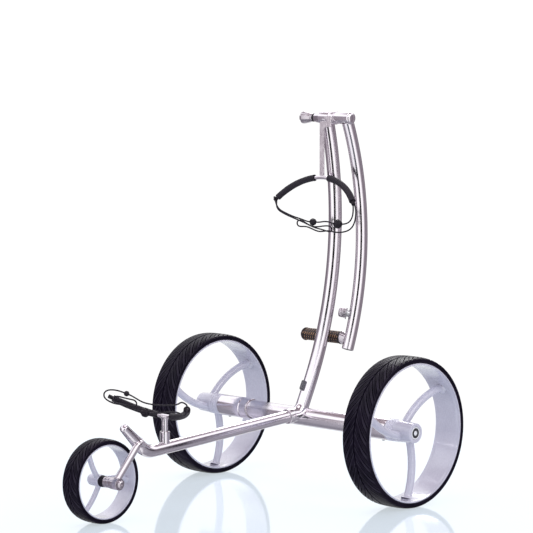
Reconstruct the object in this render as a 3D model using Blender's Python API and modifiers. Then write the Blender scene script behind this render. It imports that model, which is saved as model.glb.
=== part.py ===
"""Three-wheeled electric golf trolley in polished steel tube, with its handle folded down.

Metres, +Z up. The front wheel points to -Y and the trolley's left side is +X. The origin is on the
ground, under the middle of the trolley. Positions along Y are worked out from the rear axle.
"""

import math

import bmesh
import bpy
from mathutils import Matrix, Vector

# Overall layout
WHEELBASE = 0.521
TRACK = 0.542
REAR_WHEEL_R = 0.150
FRONT_WHEEL_R = 0.081
HINGE_BACK = 0.067          # top hinge behind the rear axle
HINGE_Z = 0.764             # top hinge above the ground
GAP = 0.0003                # between pieces that touch
RUNNING_GAP = 0.0010        # between faces that turn past each other
EDGE = 0.0008               # small chamfers
OVERCUT = 0.010             # how far a cutter runs past what it cuts

# Rear axle and drive
AXLE_TUBE_R = 0.019
AXLE_TUBE_HALF = 0.160
TUBE_WALL = 0.0015
HOUSING_STEP = 0.003        # the motor housing stands this far proud of the axle tube
HOUSING_SLEEVE = 0.010
HOUSING_CONE = 0.012
HUB_START = 0.0350          # the hub's inner end, inboard of the wheel's middle plane
HUB_END = 0.0300            # the hub's outer end, outboard of it
MOTOR_LENGTH = 0.038
SHAFT_R = 0.005
SHAFT_IN_GEARBOX = 0.008
BEARING_LENGTH = 0.004
SCREW_HEAD_R = 0.0028
SCREW_HEAD_HEIGHT = 0.0022
SCREW_SHANK_R = 0.0015
SCREW_INBOARD = 0.018       # axle screw, inboard of the housing's outer end
BOARD_SIZE = (0.080, 0.022, 0.0016)

# Rear wheels
REAR_TYRE_WIDTH = 0.064
REAR_TYRE_DEPTH = 0.012
RIM_WALL = 0.0035
RIM_LIP = 0.0015
HUB_R = 0.022
HUB_TIP_R = 0.0195
BUTTON_R = 0.0125
BUTTON_DEPTH = 0.012
BUTTON_TRAVEL = 0.0025
REAR_SPOKE_R = 0.0078
REAR_SPOKE_START_DEG = 85.0
REAR_SPOKE_SWEEP_DEG = -51.0
REAR_SPOKE_BOW = 0.0123
SPOKE_COUNT = 3

# Front wheel and fork
FRONT_TYRE_WIDTH = 0.041
FRONT_TYRE_DEPTH = 0.0095
FRONT_WHEEL_X = -0.042
FRONT_HUB_R = 0.0120
FRONT_HUB_LENGTH = 0.032
FRONT_HUB_END_X = -0.0390
FRONT_HUB_FLOOR = 0.0025
FRONT_SPOKE_INSET = 0.003    # the spokes stand this far inside the wheel's middle plane
FRONT_SPOKE_R = 0.0050
FRONT_SPOKE_START_DEG = 130.0
FRONT_SPOKE_SWEEP_DEG = -15.0
FRONT_SPOKE_BOW = 0.0030
AXLE_BOLT_R = 0.0040
AXLE_HEAD_R = 0.0075
AXLE_HEAD_LENGTH = 0.0055
SEAL_LENGTH = 0.0110
SPACER_LENGTH = 0.0170
SPACER_R = 0.0105
BOSS_R = 0.0115
BOSS_LENGTH = 0.022
FORK_ARM_R = 0.0070
FORK_ARM_FILLET = 0.010
FORK_ELBOW_ALONG = 0.0356   # the fork's elbow, along the nose from its bend
FORK_ROOT_ALONG = 0.012
FRONT_BEARING_R = 0.0082

# Stem
STEM_R = 0.0140
STEM_BEND_R = 0.80          # the long rearward bow
STEM_FOOT_BACK = 0.0096     # lower end of the bow, behind the axle
STEM_FOOT_RISE = 0.054      # and above it
STEM_FOOT_FILLET = 0.030
STEM_POINTS = 12            # along the bow

# Front tube
FRONT_TUBE_R = 0.0125
COLLAR_FORWARD = 0.045      # collar centre, in front of the axle
COLLAR_RISE = 0.006         # and above it
COLLAR_HALF = 0.007
COLLAR_WALL = 0.0027
FRONT_SLOPE_DEG = 3.6
NOSE_BEND_BEHIND = 0.0785   # nose bend, behind the front axle
NOSE_BEND_R = 0.042
NOSE_DEG = 43.4
NOSE_LENGTH = 0.078
NOSE_TIP_R = 0.0085
SPIGOT_IN_STUB = 0.014
SPIGOT_IN_TUBE = 0.016
SPIGOT_WALL = 0.0020
SPIGOT_CLEARANCE = 0.0013    # inside the stub, which starts to bend there
LOCK_BUTTON_R = 0.0045
LOCK_BUTTON_LENGTH = 0.0055

# Top hinge, along X
BARREL_R = 0.0125
BARREL_LEFT_X = -0.0310
RING_START_X = 0.0120
RING_END_X = 0.0270
HANDLE_BARREL_END_X = 0.0720
HINGE_BOLT_R = 0.0040
WASHER_LENGTH = 0.0052
KNOB_LENGTH = 0.0262
KNOB_R = 0.0128
KNOB_NECK_R = 0.0085
BOLT_IN_KNOB = 0.016
BOLT_IN_HANDLE = 0.034

# Folding handle
HANDLE_R = 0.0125
HANDLE_X = 0.055
HANDLE_LEAN = 0.0085        # the lower end stands this far closer to the stem
HANDLE_END_BACK = 0.081
HANDLE_END_Z = 0.286
HANDLE_BOW = 0.0452
HANDLE_POINTS = 12
PLUG_LENGTH = 0.010
GRIP_Z = 0.308
GRIP_END_X = -0.0800
GRIP_R = 0.0135
GRIP_CORE_R = 0.0095
GRIP_COLLAR_X = 0.0260
GRIP_COLLAR_FLARE = 0.0100
GRIP_CAP_LENGTH = 0.0055
DIAL_Z = 0.357
DIAL_TURN_DEG = 45.0        # the dial's axis, turned from -X towards -Y
DIAL_R = 0.0100
DIAL_LENGTH = 0.0155
DIAL_FLANGE_R = 0.0127
DIAL_FLANGE_LENGTH = 0.0020
DIAL_STAND_OFF = 0.0045

# Bag cradles: the same bent bar, above and below
BAR_R = 0.0040
PAD_R = 0.00675
CRADLE_BEND_R = 0.135
CRADLE_HALF_WIDTH = 0.1045
PAD_START = 0.0195
BAR_STUB = 0.010
UPPER_BAR_Z = 0.6415
UPPER_TILT_DEG = 63.0       # the upper cradle's arms droop
LOWER_BAR_BEHIND = 0.128    # lower cradle, behind the front axle
LOWER_BAR_RISE = 0.0457
LOWER_TILT_DEG = -35.0      # the lower cradle's arms rise
POST_R = 0.0059
NUT_R = 0.0097
NUT_HEIGHT = 0.020
ARM_PLATE_WIDTH = 0.012
ARM_PLATE_THICKNESS = 0.003
ARM_TAB_DROP = 0.0070        # the tab that crosses to the ring, below the hinge
ARM_TAB_HEIGHT = 0.0115
PLATE_CLEARANCE = 0.0005
CORD_R = 0.0015
LARGE_TOGGLE_R = 0.0095
SMALL_TOGGLE_R = 0.0075
LOWER_SMALL_TOGGLE_R = 0.0055
TOGGLE_BORE_GAP = 0.0006

# Battery socket on the stem
SOCKET_SIZE = (0.009, 0.016, 0.020)
SOCKET_RISE = 0.058
SOCKET_STAND_OFF = 0.0075

# Facets round the shapes
WHEEL_STEPS = 36
SMALL_STEPS = 16
MIDDLE_STEPS = 20
TOGGLE_STEPS = 12
TOGGLE_RINGS = 7
TUBE_RESOLUTION = 4
CORD_RESOLUTION = 2
CORD_SPACING = 0.0075
TUBE_SIDES = 4 + 2 * TUBE_RESOLUTION
TUBE_FLAT = math.cos(math.pi / TUBE_SIDES)      # a tube's flats lie this share of its radius from its axis

AXLE_Y = (WHEELBASE + FRONT_WHEEL_R - REAR_WHEEL_R) / 2
AXLE = Vector((0, AXLE_Y, REAR_WHEEL_R))
HINGE = Vector((0, AXLE_Y + HINGE_BACK, HINGE_Z))
FRONT_AXLE = Vector((0, AXLE_Y - WHEELBASE, FRONT_WHEEL_R))
COLLAR = AXLE + Vector((0, -COLLAR_FORWARD, COLLAR_RISE))
FRONT_SLOPE = math.radians(FRONT_SLOPE_DEG)
FRONT_DIR = Vector((0, -math.cos(FRONT_SLOPE), -math.sin(FRONT_SLOPE)))
NOSE_BEND_REACH = WHEELBASE - NOSE_BEND_BEHIND - COLLAR_FORWARD
NOSE_BEND = COLLAR + FRONT_DIR * (NOSE_BEND_REACH / math.cos(FRONT_SLOPE))
NOSE_ANGLE = math.radians(NOSE_DEG)
NOSE_DIR = Vector((0, -math.cos(NOSE_ANGLE), math.sin(NOSE_ANGLE)))
UPPER_BAR_BACK = HINGE_BACK - BARREL_R - ARM_PLATE_THICKNESS / 2 - PLATE_CLEARANCE
UPPER_CRADLE = Vector((0, AXLE_Y + UPPER_BAR_BACK, UPPER_BAR_Z))
LOWER_CRADLE = AXLE + Vector((0, LOWER_BAR_BEHIND - WHEELBASE, LOWER_BAR_RISE))
RING_R = BARREL_R + ARM_PLATE_THICKNESS / 3      # the bracket's ring, just proud of the barrels
HOUSING_R = AXLE_TUBE_R + HOUSING_STEP
HOUSING_BORE = HOUSING_R - TUBE_WALL
HUB_INNER_X = TRACK / 2 - HUB_START
HOUSING_END = HUB_INNER_X - RUNNING_GAP
X_AXIS = Vector((1, 0, 0))
Z_AXIS = Vector((0, 0, 1))

# Elastic cords: hand-placed points from the middle of each cradle bar
UPPER_CORD = [
    (0.1124, -0.0245, -0.0511), (0.1151, -0.0258, -0.0537), (0.1182, -0.0276, -0.0590),
    (0.1196, -0.0288, -0.0690), (0.1170, -0.0285, -0.0830), (0.1080, -0.0265, -0.0960),
    (0.0930, -0.0245, -0.1045), (0.0740, -0.0245, -0.1085), (0.0560, -0.0252, -0.1085),
    (0.0430, -0.0255, -0.1065), (0.0310, -0.0255, -0.1080), (0.0160, -0.0255, -0.1095),
    (0.0010, -0.0255, -0.1065), (-0.0140, -0.0255, -0.1020), (-0.0265, -0.0255, -0.1008),
    (-0.0345, -0.0255, -0.1018), (-0.0410, -0.0255, -0.1016), (-0.0457, -0.0253, -0.0996),
    (-0.0477, -0.0252, -0.0949), (-0.0457, -0.0250, -0.0901), (-0.0410, -0.0250, -0.0881),
    (-0.0345, -0.0249, -0.0887), (-0.0265, -0.0245, -0.0918),
    (-0.0160, -0.0230, -0.0970), (-0.0050, -0.0218, -0.1005), (0.0080, -0.0215, -0.1003),
    (0.0200, -0.0215, -0.0985), (0.0320, -0.0212, -0.0972), (0.0405, -0.0208, -0.0972),
    (0.0450, -0.0203, -0.0990), (0.0468, -0.0198, -0.1035), (0.0450, -0.0190, -0.1080),
    (0.0405, -0.0184, -0.1098), (0.0290, -0.0178, -0.1080), (0.0150, -0.0175, -0.1055),
    (0.0000, -0.0175, -0.1035), (-0.0140, -0.0175, -0.1000), (-0.0280, -0.0175, -0.0955),
    (-0.0410, -0.0172, -0.0918), (-0.0530, -0.0172, -0.0885), (-0.0640, -0.0175, -0.0855),
    (-0.0800, -0.0190, -0.0805), (-0.0960, -0.0190, -0.0752), (-0.1085, -0.0186, -0.0690),
    (-0.1135, -0.0176, -0.0615), (-0.1126, -0.0171, -0.0545), (-0.1121, -0.0178, -0.0480),
    (-0.1133, -0.0213, -0.0435), (-0.1122, -0.0262, -0.0422), (-0.1089, -0.0301, -0.0438),
    (-0.1052, -0.0307, -0.0480), (-0.1030, -0.0299, -0.0550), (-0.1010, -0.0286, -0.0620),
    (-0.0945, -0.0262, -0.0695), (-0.0810, -0.0228, -0.0757), (-0.0645, -0.0195, -0.0817),
    (-0.0530, -0.0180, -0.0845), (-0.0400, -0.0175, -0.0872), (-0.0260, -0.0198, -0.0900),
    (-0.0150, -0.0215, -0.0910), (-0.0050, -0.0215, -0.0910), (0.0050, -0.0215, -0.0910),
    (0.0150, -0.0215, -0.0905), (0.0260, -0.0215, -0.0885), (0.0390, -0.0215, -0.0888),
    (0.0530, -0.0215, -0.0918), (0.0640, -0.0215, -0.0920), (0.0750, -0.0215, -0.0920),
    (0.0900, -0.0225, -0.0895), (0.1020, -0.0250, -0.0830), (0.1105, -0.0285, -0.0730),
    (0.1140, -0.0306, -0.0630), (0.1138, -0.0301, -0.0560), (0.1108, -0.0275, -0.0511),
]
LOWER_CORD = [
    (0.1111, -0.0465, 0.0347), (0.1138, -0.0489, 0.0364), (0.1170, -0.0521, 0.0388),
    (0.1188, -0.0560, 0.0418), (0.1160, -0.0592, 0.0442), (0.1090, -0.0585, 0.0448),
    (0.1000, -0.0545, 0.0420), (0.0900, -0.0500, 0.0382), (0.0740, -0.0458, 0.0345), (0.0450, -0.0435, 0.0305),
    (0.0150, -0.0430, 0.0285), (-0.0150, -0.0430, 0.0300), (-0.0380, -0.0431, 0.0365),
    (-0.0520, -0.0435, 0.0405), (-0.0610, -0.0437, 0.0420), (-0.0700, -0.0439, 0.0435),
    (-0.0850, -0.0444, 0.0455), (-0.1020, -0.0450, 0.0455), (-0.1170, -0.0455, 0.0425),
    (-0.1255, -0.0458, 0.0355), (-0.1240, -0.0458, 0.0285), (-0.1140, -0.0458, 0.0235),
    (-0.0950, -0.0455, 0.0195), (-0.0700, -0.0455, 0.0195), (-0.0480, -0.0455, 0.0190),
    (-0.0350, -0.0455, 0.0195), (-0.0305, -0.0456, 0.0214), (-0.0286, -0.0458, 0.0259),
    (-0.0305, -0.0462, 0.0304), (-0.0350, -0.0466, 0.0323), (-0.0480, -0.0475, 0.0330),
    (-0.0610, -0.0480, 0.0338), (-0.0760, -0.0480, 0.0350), (-0.0860, -0.0482, 0.0350),
    (-0.0910, -0.0490, 0.0330), (-0.0930, -0.0500, 0.0288), (-0.0910, -0.0512, 0.0245),
    (-0.0860, -0.0520, 0.0230), (-0.0740, -0.0522, 0.0228), (-0.0580, -0.0512, 0.0200),
    (-0.0420, -0.0480, 0.0150), (-0.0290, -0.0445, 0.0116), (-0.0184, -0.0430, 0.0110),
    (-0.0084, -0.0430, 0.0110), (0.0016, -0.0430, 0.0110), (0.0200, -0.0430, 0.0122),
    (0.0400, -0.0432, 0.0158), (0.0620, -0.0442, 0.0198), (0.0800, -0.0468, 0.0218),
    (0.0960, -0.0510, 0.0215), (0.1080, -0.0565, 0.0200), (0.1180, -0.0604, 0.0206),
    (0.1236, -0.0612, 0.0240), (0.1252, -0.0598, 0.0290), (0.1230, -0.0568, 0.0323),
    (0.1190, -0.0533, 0.0333), (0.1148, -0.0499, 0.0329), (0.1121, -0.0475, 0.0313),
]
UPPER_TOGGLES = [("upper_toggle_large", 66, LARGE_TOGGLE_R), ("upper_toggle_small", 60, SMALL_TOGGLE_R)]
LOWER_TOGGLES = [("lower_toggle_large", 43, LARGE_TOGGLE_R), ("lower_toggle_small", 14, LOWER_SMALL_TOGGLE_R)]


# Scene and materials

def clear_scene():
    for old in list(bpy.data.objects):
        bpy.data.objects.remove(old, do_unlink=True)


def new_collection(name):
    collection = bpy.data.collections.new(name)
    bpy.context.scene.collection.children.link(collection)
    return collection


def new_material(name, colour, roughness, metallic=0.0):
    made = bpy.data.materials.new(name)
    made.use_nodes = True
    shader = made.node_tree.nodes["Principled BSDF"]
    shader.inputs["Base Color"].default_value = (*colour, 1.0)
    shader.inputs["Roughness"].default_value = roughness
    shader.inputs["Metallic"].default_value = metallic
    made.diffuse_color = (*colour, 1.0)
    return made


def new_body(name, location):
    """An empty on a joint's axis, which carries the pieces that move together."""
    empty = bpy.data.objects.new(name + "_pivot", None)
    empty.location = location
    empty.empty_display_size = 0.03
    TROLLEY.objects.link(empty)
    return empty


def add_piece(obj, look, body=None):
    """Takes a finished object into the trolley, with its own copy of a look."""
    TROLLEY.objects.link(obj)
    if obj.type == "MESH":
        obj.data.shade_smooth()
        obj.data.set_sharp_from_angle(angle=math.radians(35))
    own = LOOKS[look].copy()
    own.name = obj.name + "_material"
    obj.data.materials.clear()
    obj.data.materials.append(own)
    if body is not None:
        obj.parent = body
        obj.matrix_parent_inverse = Matrix.Translation(body.location).inverted()
    return obj


def add_cutter(obj):
    CUTTERS.objects.link(obj)
    obj.hide_render = True
    obj.display_type = "WIRE"
    return obj


# Shapes

def aim(direction):
    """Rotation that takes local +Z to a direction and keeps the local X axis as steady as it can."""
    return Vector(direction).to_track_quat("Z", "Y").to_euler()


def turned(name, profile, location, direction, steps=SMALL_STEPS, closed=True):
    """A turned piece. Its profile is (radius, height) pairs, down the outside and back up the bore."""
    mesh = bpy.data.meshes.new(name)
    verts = [(radius, 0.0, height) for radius, height in profile]
    edges = [(i, i + 1) for i in range(len(verts) - 1)]
    if closed:
        edges.append((len(verts) - 1, 0))
    mesh.from_pydata(verts, edges, [])
    obj = bpy.data.objects.new(name, mesh)
    obj.location = location
    if Vector(direction) == X_AXIS:
        obj.rotation_euler = (0, math.pi / 2, 0)
    elif Vector(direction) == -X_AXIS:
        obj.rotation_euler = (0, -math.pi / 2, 0)
    else:
        obj.rotation_euler = aim(direction)
    screw = obj.modifiers.new("Screw", "SCREW")
    screw.steps = steps
    screw.render_steps = steps
    screw.use_merge_vertices = True
    screw.merge_threshold = 0.00001
    screw.use_smooth_shade = True
    return obj


def ring(name, outer, inner, low, high, location, direction, steps=SMALL_STEPS):
    profile = [(outer, high), (outer, low), (inner, low), (inner, high)]
    return turned(name, profile, location, direction, steps)


def rod(name, radius, low, high, location, direction, steps=SMALL_STEPS):
    profile = [(0.0, high), (radius, high), (radius, low), (0.0, low)]
    return turned(name, profile, location, direction, steps, closed=False)


def arc_between(start, end, bow, count):
    """Points from start to end on the circle that stands off their chord's middle by the vector bow."""
    start, end, bow = Vector(start), Vector(end), Vector(bow)
    chord = end - start
    sagitta = bow.length
    radius = chord.length ** 2 / (8 * sagitta) + sagitta / 2
    centre = (start + end) / 2 + bow.normalized() * (sagitta - radius)
    half = math.asin(min(1.0, chord.length / (2 * radius)))
    along, out = chord.normalized(), bow.normalized()
    angles = [half * (2 * i / (count - 1) - 1) for i in range(count)]
    return [centre + radius * (math.sin(a) * along + math.cos(a) * out) for a in angles]


def filleted(points, fillet, count=6):
    """A path through points whose inner corners are rounded to one radius."""
    points = [Vector(p) for p in points]
    path = [points[0]]
    for before, corner, after in zip(points, points[1:], points[2:]):
        back, on = (before - corner).normalized(), (after - corner).normalized()
        turn = math.pi - back.angle(on)
        tangent = fillet * math.tan(turn / 2)
        first, last = corner + back * tangent, corner + on * tangent
        bow = (corner - (first + last) / 2).normalized() * fillet * (1 - math.cos(turn / 2))
        path += arc_between(first, last, bow, count)
    return path + [points[-1]]


def smooth_route(points, spacing):
    """Evenly spaced points on a Catmull-Rom curve through hand-placed ones."""
    points = [Vector(p) for p in points]
    ends = [2 * points[0] - points[1]] + points + [2 * points[-1] - points[-2]]
    fine = []
    for a, b, c, d in zip(ends, ends[1:], ends[2:], ends[3:]):
        for step in range(10):
            t = step / 10
            linear = (c - a) * t
            square = (2 * a - 5 * b + 4 * c - d) * t ** 2
            cube = (3 * b - a - 3 * c + d) * t ** 3
            fine.append((2 * b + linear + square + cube) / 2)
    fine.append(points[-1])
    lengths = [0.0]
    for a, b in zip(fine, fine[1:]):
        lengths.append(lengths[-1] + (b - a).length)
    count = round(lengths[-1] / spacing)
    route, at = [], 0
    for i in range(count + 1):
        wanted = lengths[-1] * i / count
        while at < len(fine) - 2 and lengths[at + 1] < wanted:
            at += 1
        share = (wanted - lengths[at]) / (lengths[at + 1] - lengths[at])
        route.append(fine[at].lerp(fine[at + 1], share))
    return route


def bent_curve(name, path, radius, resolution=TUBE_RESOLUTION, tapers=None, capped=True):
    curve = bpy.data.curves.new(name, "CURVE")
    curve.dimensions = "3D"
    curve.bevel_depth = radius
    curve.bevel_resolution = resolution
    curve.use_fill_caps = capped
    curve.twist_mode = "MINIMUM"
    curve.resolution_u = 1
    spline = curve.splines.new("POLY")
    spline.points.add(len(path) - 1)
    for i, (point, place) in enumerate(zip(spline.points, path)):
        point.co = (*place, 1.0)
        point.radius = tapers[i] if tapers else 1.0
    return bpy.data.objects.new(name, curve)


def as_mesh(curve_obj):
    """The same shape as a closed mesh object, so that it can be cut or joined."""
    bpy.context.scene.collection.objects.link(curve_obj)
    graph = bpy.context.evaluated_depsgraph_get()
    mesh = bpy.data.meshes.new_from_object(curve_obj.evaluated_get(graph))
    name, place = curve_obj.name, curve_obj.matrix_world.copy()
    bpy.data.objects.remove(curve_obj, do_unlink=True)
    shape = bmesh.new()
    shape.from_mesh(mesh)
    bmesh.ops.remove_doubles(shape, verts=shape.verts, dist=0.00001)
    bmesh.ops.recalc_face_normals(shape, faces=shape.faces)
    shape.to_mesh(mesh)
    shape.free()
    made = bpy.data.objects.new(name, mesh)
    made.matrix_world = place
    return made


def bent_bar(name, path, radius, resolution=TUBE_RESOLUTION, tapers=None):
    return as_mesh(bent_curve(name, path, radius, resolution, tapers))


def bent_tube(name, path, radius, wall, resolution=TUBE_RESOLUTION, tapers=None):
    """A hollow tube with open ends: a swept skin, thickened inwards."""
    curve_obj = bent_curve(name, path, radius, resolution, tapers, capped=False)
    obj = as_mesh(curve_obj)
    shell = obj.modifiers.new("Solidify", "SOLIDIFY")
    shell.thickness = wall
    shell.offset = -1.0
    return obj


def box(name, size, centre, rotation=None, bevel=0.0):
    mesh = bpy.data.meshes.new(name)
    shape = bmesh.new()
    bmesh.ops.create_cube(shape, size=1.0)
    bmesh.ops.scale(shape, vec=size, verts=shape.verts)
    shape.to_mesh(mesh)
    shape.free()
    obj = bpy.data.objects.new(name, mesh)
    obj.location = centre
    if rotation is not None:
        obj.rotation_euler = rotation
    if bevel > 0:
        edge = obj.modifiers.new("Bevel", "BEVEL")
        edge.width = bevel
        edge.segments = 2
        edge.limit_method = "ANGLE"
    return obj


def combine(obj, other, operation):
    change = obj.modifiers.new(operation.title(), "BOOLEAN")
    change.operation = operation
    change.object = add_cutter(other) if other.name not in CUTTERS.objects else other
    return obj


def cut(obj, cutter):
    return combine(obj, cutter, "DIFFERENCE")


def join(obj, other):
    return combine(obj, other, "UNION")


# Paths that several pieces share

def stem_path():
    """From the collar's stub, up round the foot's bend and along the long bow to the hinge."""
    foot = AXLE + Vector((0, STEM_FOOT_BACK, STEM_FOOT_RISE))
    chord = HINGE - foot
    sagitta = STEM_BEND_R - math.sqrt(STEM_BEND_R ** 2 - (chord.length / 2) ** 2)
    back = chord.cross(X_AXIS).normalized()
    if back.y < 0:
        back = -back
    bow = arc_between(foot, HINGE, back * sagitta, STEM_POINTS)
    down = (bow[0] - bow[1]).normalized()
    stub_end = COLLAR - FRONT_DIR * (COLLAR_HALF + GAP)
    reach = ((foot - stub_end).cross(-FRONT_DIR)).x / (-(down.cross(-FRONT_DIR)).x)
    corner = foot + down * reach
    return filleted([stub_end, corner, bow[1]], STEM_FOOT_FILLET, 6)[:-1] + bow[1:]


def front_path():
    tip = NOSE_BEND + NOSE_DIR * NOSE_LENGTH
    start = COLLAR - FRONT_DIR * (COLLAR_HALF - GAP)
    bend = filleted([start, NOSE_BEND, tip], NOSE_BEND_R, 6)
    last = bend.pop()
    root = bend[-1]
    return bend + [root.lerp(last, share) for share in (0.35, 0.7, 1.0)]


def front_tapers(path, gap=0.0):
    """Full size up to the nose's bend, then narrowing to the tip."""
    tip_share = NOSE_TIP_R / FRONT_TUBE_R
    shares = [1.0] * (len(path) - 3) + [1 - (1 - tip_share) * s for s in (0.35, 0.7, 1.0)]
    full = FRONT_TUBE_R + gap
    return [(share * FRONT_TUBE_R + gap) / full for share in shares]


def handle_path():
    """The folded handle: a bow from the hinge down behind the stem, leaning slightly inwards."""
    start = HINGE + X_AXIS * HANDLE_X
    end = Vector((HANDLE_X - HANDLE_LEAN, AXLE_Y + HANDLE_END_BACK, HANDLE_END_Z))
    chord = end - start
    back = chord.cross(X_AXIS).normalized()
    if back.y < 0:
        back = -back
    return arc_between(start, end, back * HANDLE_BOW, HANDLE_POINTS)


def at_height(path, height):
    """The point of a path at a height, and the path's direction there."""
    for a, b in zip(path, path[1:]):
        if (a.z - height) * (b.z - height) <= 0 and a.z != b.z:
            return a.lerp(b, (height - a.z) / (b.z - a.z)), (b - a).normalized()
    raise ValueError("the path doesn't reach that height")


def cradle_drop(tilt_deg):
    tilt = math.radians(tilt_deg)
    return Vector((0, -math.cos(tilt), -math.sin(tilt)))


def pad_path(centre, tilt_deg, sign, count=7):
    """The arc of one arm's pad, from the cradle's middle outwards."""
    first = sign * math.asin(PAD_START / CRADLE_BEND_R)
    last = sign * math.asin(CRADLE_HALF_WIDTH / CRADLE_BEND_R)
    drop = cradle_drop(tilt_deg)
    path = []
    for i in range(count):
        angle = first + (last - first) * i / (count - 1)
        out = X_AXIS * math.sin(angle) + drop * (1 - math.cos(angle))
        path.append(centre + CRADLE_BEND_R * out)
    return path


# Rear axle and drive

def make_axle():
    tube = ring("axle_tube", AXLE_TUBE_R, AXLE_TUBE_R - TUBE_WALL, -AXLE_TUBE_HALF, AXLE_TUBE_HALF,
                AXLE, X_AXIS, MIDDLE_STEPS)
    add_piece(tube, "steel")
    add_piece(box("controller_board", BOARD_SIZE, AXLE, bevel=0.0004), "board")


def make_drive(side, sign):
    """The motor housing with what is inside it, at one end of the axle."""
    out = X_AXIS * sign
    sleeve = AXLE_TUBE_R + GAP
    start = AXLE_TUBE_HALF - HOUSING_SLEEVE
    step = AXLE_TUBE_HALF + GAP
    profile = [
        (HOUSING_R, HOUSING_END),
        (HOUSING_R, AXLE_TUBE_HALF + HOUSING_CONE),
        (sleeve + TUBE_WALL, AXLE_TUBE_HALF),
        (sleeve + TUBE_WALL, start),
        (sleeve, start),
        (sleeve, step),
        (HOUSING_BORE, step + HOUSING_STEP),
        (HOUSING_BORE, HOUSING_END),
    ]
    housing = turned(side + "_motor_housing", profile, AXLE, out, MIDDLE_STEPS)
    screw_at = AXLE + out * (HOUSING_END - SCREW_INBOARD)
    hole = rod(side + "_screw_hole", SCREW_SHANK_R + GAP, HOUSING_BORE - TUBE_WALL, HOUSING_R + TUBE_WALL,
               screw_at, -Z_AXIS, 12)
    add_piece(cut(housing, hole), "steel")
    head_low = HOUSING_R + GAP
    head_high = head_low + SCREW_HEAD_HEIGHT
    shank_low = HOUSING_BORE + GAP
    profile = [
        (0.0, head_high),
        (SCREW_HEAD_R * 0.7, head_high),
        (SCREW_HEAD_R, head_low + SCREW_HEAD_HEIGHT / 2),
        (SCREW_HEAD_R, head_low),
        (SCREW_SHANK_R, head_low),
        (SCREW_SHANK_R, shank_low),
        (0.0, shank_low),
    ]
    screw = turned(side + "_axle_screw", profile, screw_at, -Z_AXIS, 12, closed=False)
    add_piece(screw, "dark_steel")

    inner = HOUSING_BORE - GAP
    motor_start = step + HOUSING_STEP + GAP
    motor_end = motor_start + MOTOR_LENGTH
    bearing_start = HOUSING_END - BEARING_LENGTH - GAP
    add_piece(rod(side + "_motor", inner, motor_start, motor_end, AXLE, out, MIDDLE_STEPS), "motor")
    socket = SHAFT_R + GAP
    profile = [
        (0.0, bearing_start - GAP - SHAFT_IN_GEARBOX),
        (socket, bearing_start - GAP - SHAFT_IN_GEARBOX),
        (socket, bearing_start - GAP),
        (inner, bearing_start - GAP),
        (inner, motor_end + GAP),
        (0.0, motor_end + GAP),
    ]
    gearbox = turned(side + "_gearbox", profile, AXLE, out, MIDDLE_STEPS, closed=False)
    add_piece(gearbox, "gearbox")
    bearing = ring(side + "_shaft_bearing", inner, socket, bearing_start, HOUSING_END - GAP,
                   AXLE, out, MIDDLE_STEPS)
    add_piece(bearing, "dark_steel")

    body = new_body(side + "_shaft", AXLE + out * HOUSING_END)
    shaft_start = bearing_start - SHAFT_IN_GEARBOX
    shaft_end = TRACK / 2 + HUB_END - BUTTON_DEPTH - RUNNING_GAP
    add_piece(rod(side + "_drive_shaft", SHAFT_R, shaft_start, shaft_end, AXLE, out), "dark_steel", body)


# Wheels

def tyre_profile(radius, depth, width):
    half = width / 2
    bead = radius - depth + GAP
    return [
        (bead, half * 0.95),
        (radius - depth * 0.30, half),
        (radius - depth * 0.07, half * 0.84),
        (radius, half * 0.40),
        (radius, -half * 0.40),
        (radius - depth * 0.07, -half * 0.84),
        (radius - depth * 0.30, -half),
        (bead, -half * 0.95),
    ]


def rim_profile(radius, width, wall, lip):
    half = width / 2 - EDGE / 2
    shoulder = half * 0.84
    return [
        (radius, half),
        (radius, -half),
        (radius - wall + lip, -half),
        (radius - wall, -shoulder),
        (radius - wall, shoulder),
        (radius - wall + lip, half),
    ]


def spokes(name, centre, start_r, end_r, start_deg, sweep_deg, bow, radius, limit_r):
    """Three curved spokes in a wheel's plane, trimmed to end inside the rim's wall."""
    joined = bpy.data.meshes.new(name)
    shape = bmesh.new()
    for i in range(SPOKE_COUNT):
        turn = math.radians(start_deg + 360 / SPOKE_COUNT * i)
        end_turn = turn + math.radians(sweep_deg)
        start = centre + start_r * Vector((0, math.cos(turn), math.sin(turn)))
        end = centre + end_r * Vector((0, math.cos(end_turn), math.sin(end_turn)))
        side = X_AXIS.cross(end - start).normalized() * bow
        one = bent_bar(name + "_one", arc_between(start, end, side, 6), radius, resolution=2)
        shape.from_mesh(one.data)
        bpy.data.objects.remove(one, do_unlink=True)
    shape.to_mesh(joined)
    shape.free()
    obj = bpy.data.objects.new(name, joined)
    limit = rod(name + "_limit", limit_r, -HUB_END, HUB_END, centre, X_AXIS, WHEEL_STEPS)
    return combine(obj, limit, "INTERSECT")


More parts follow.
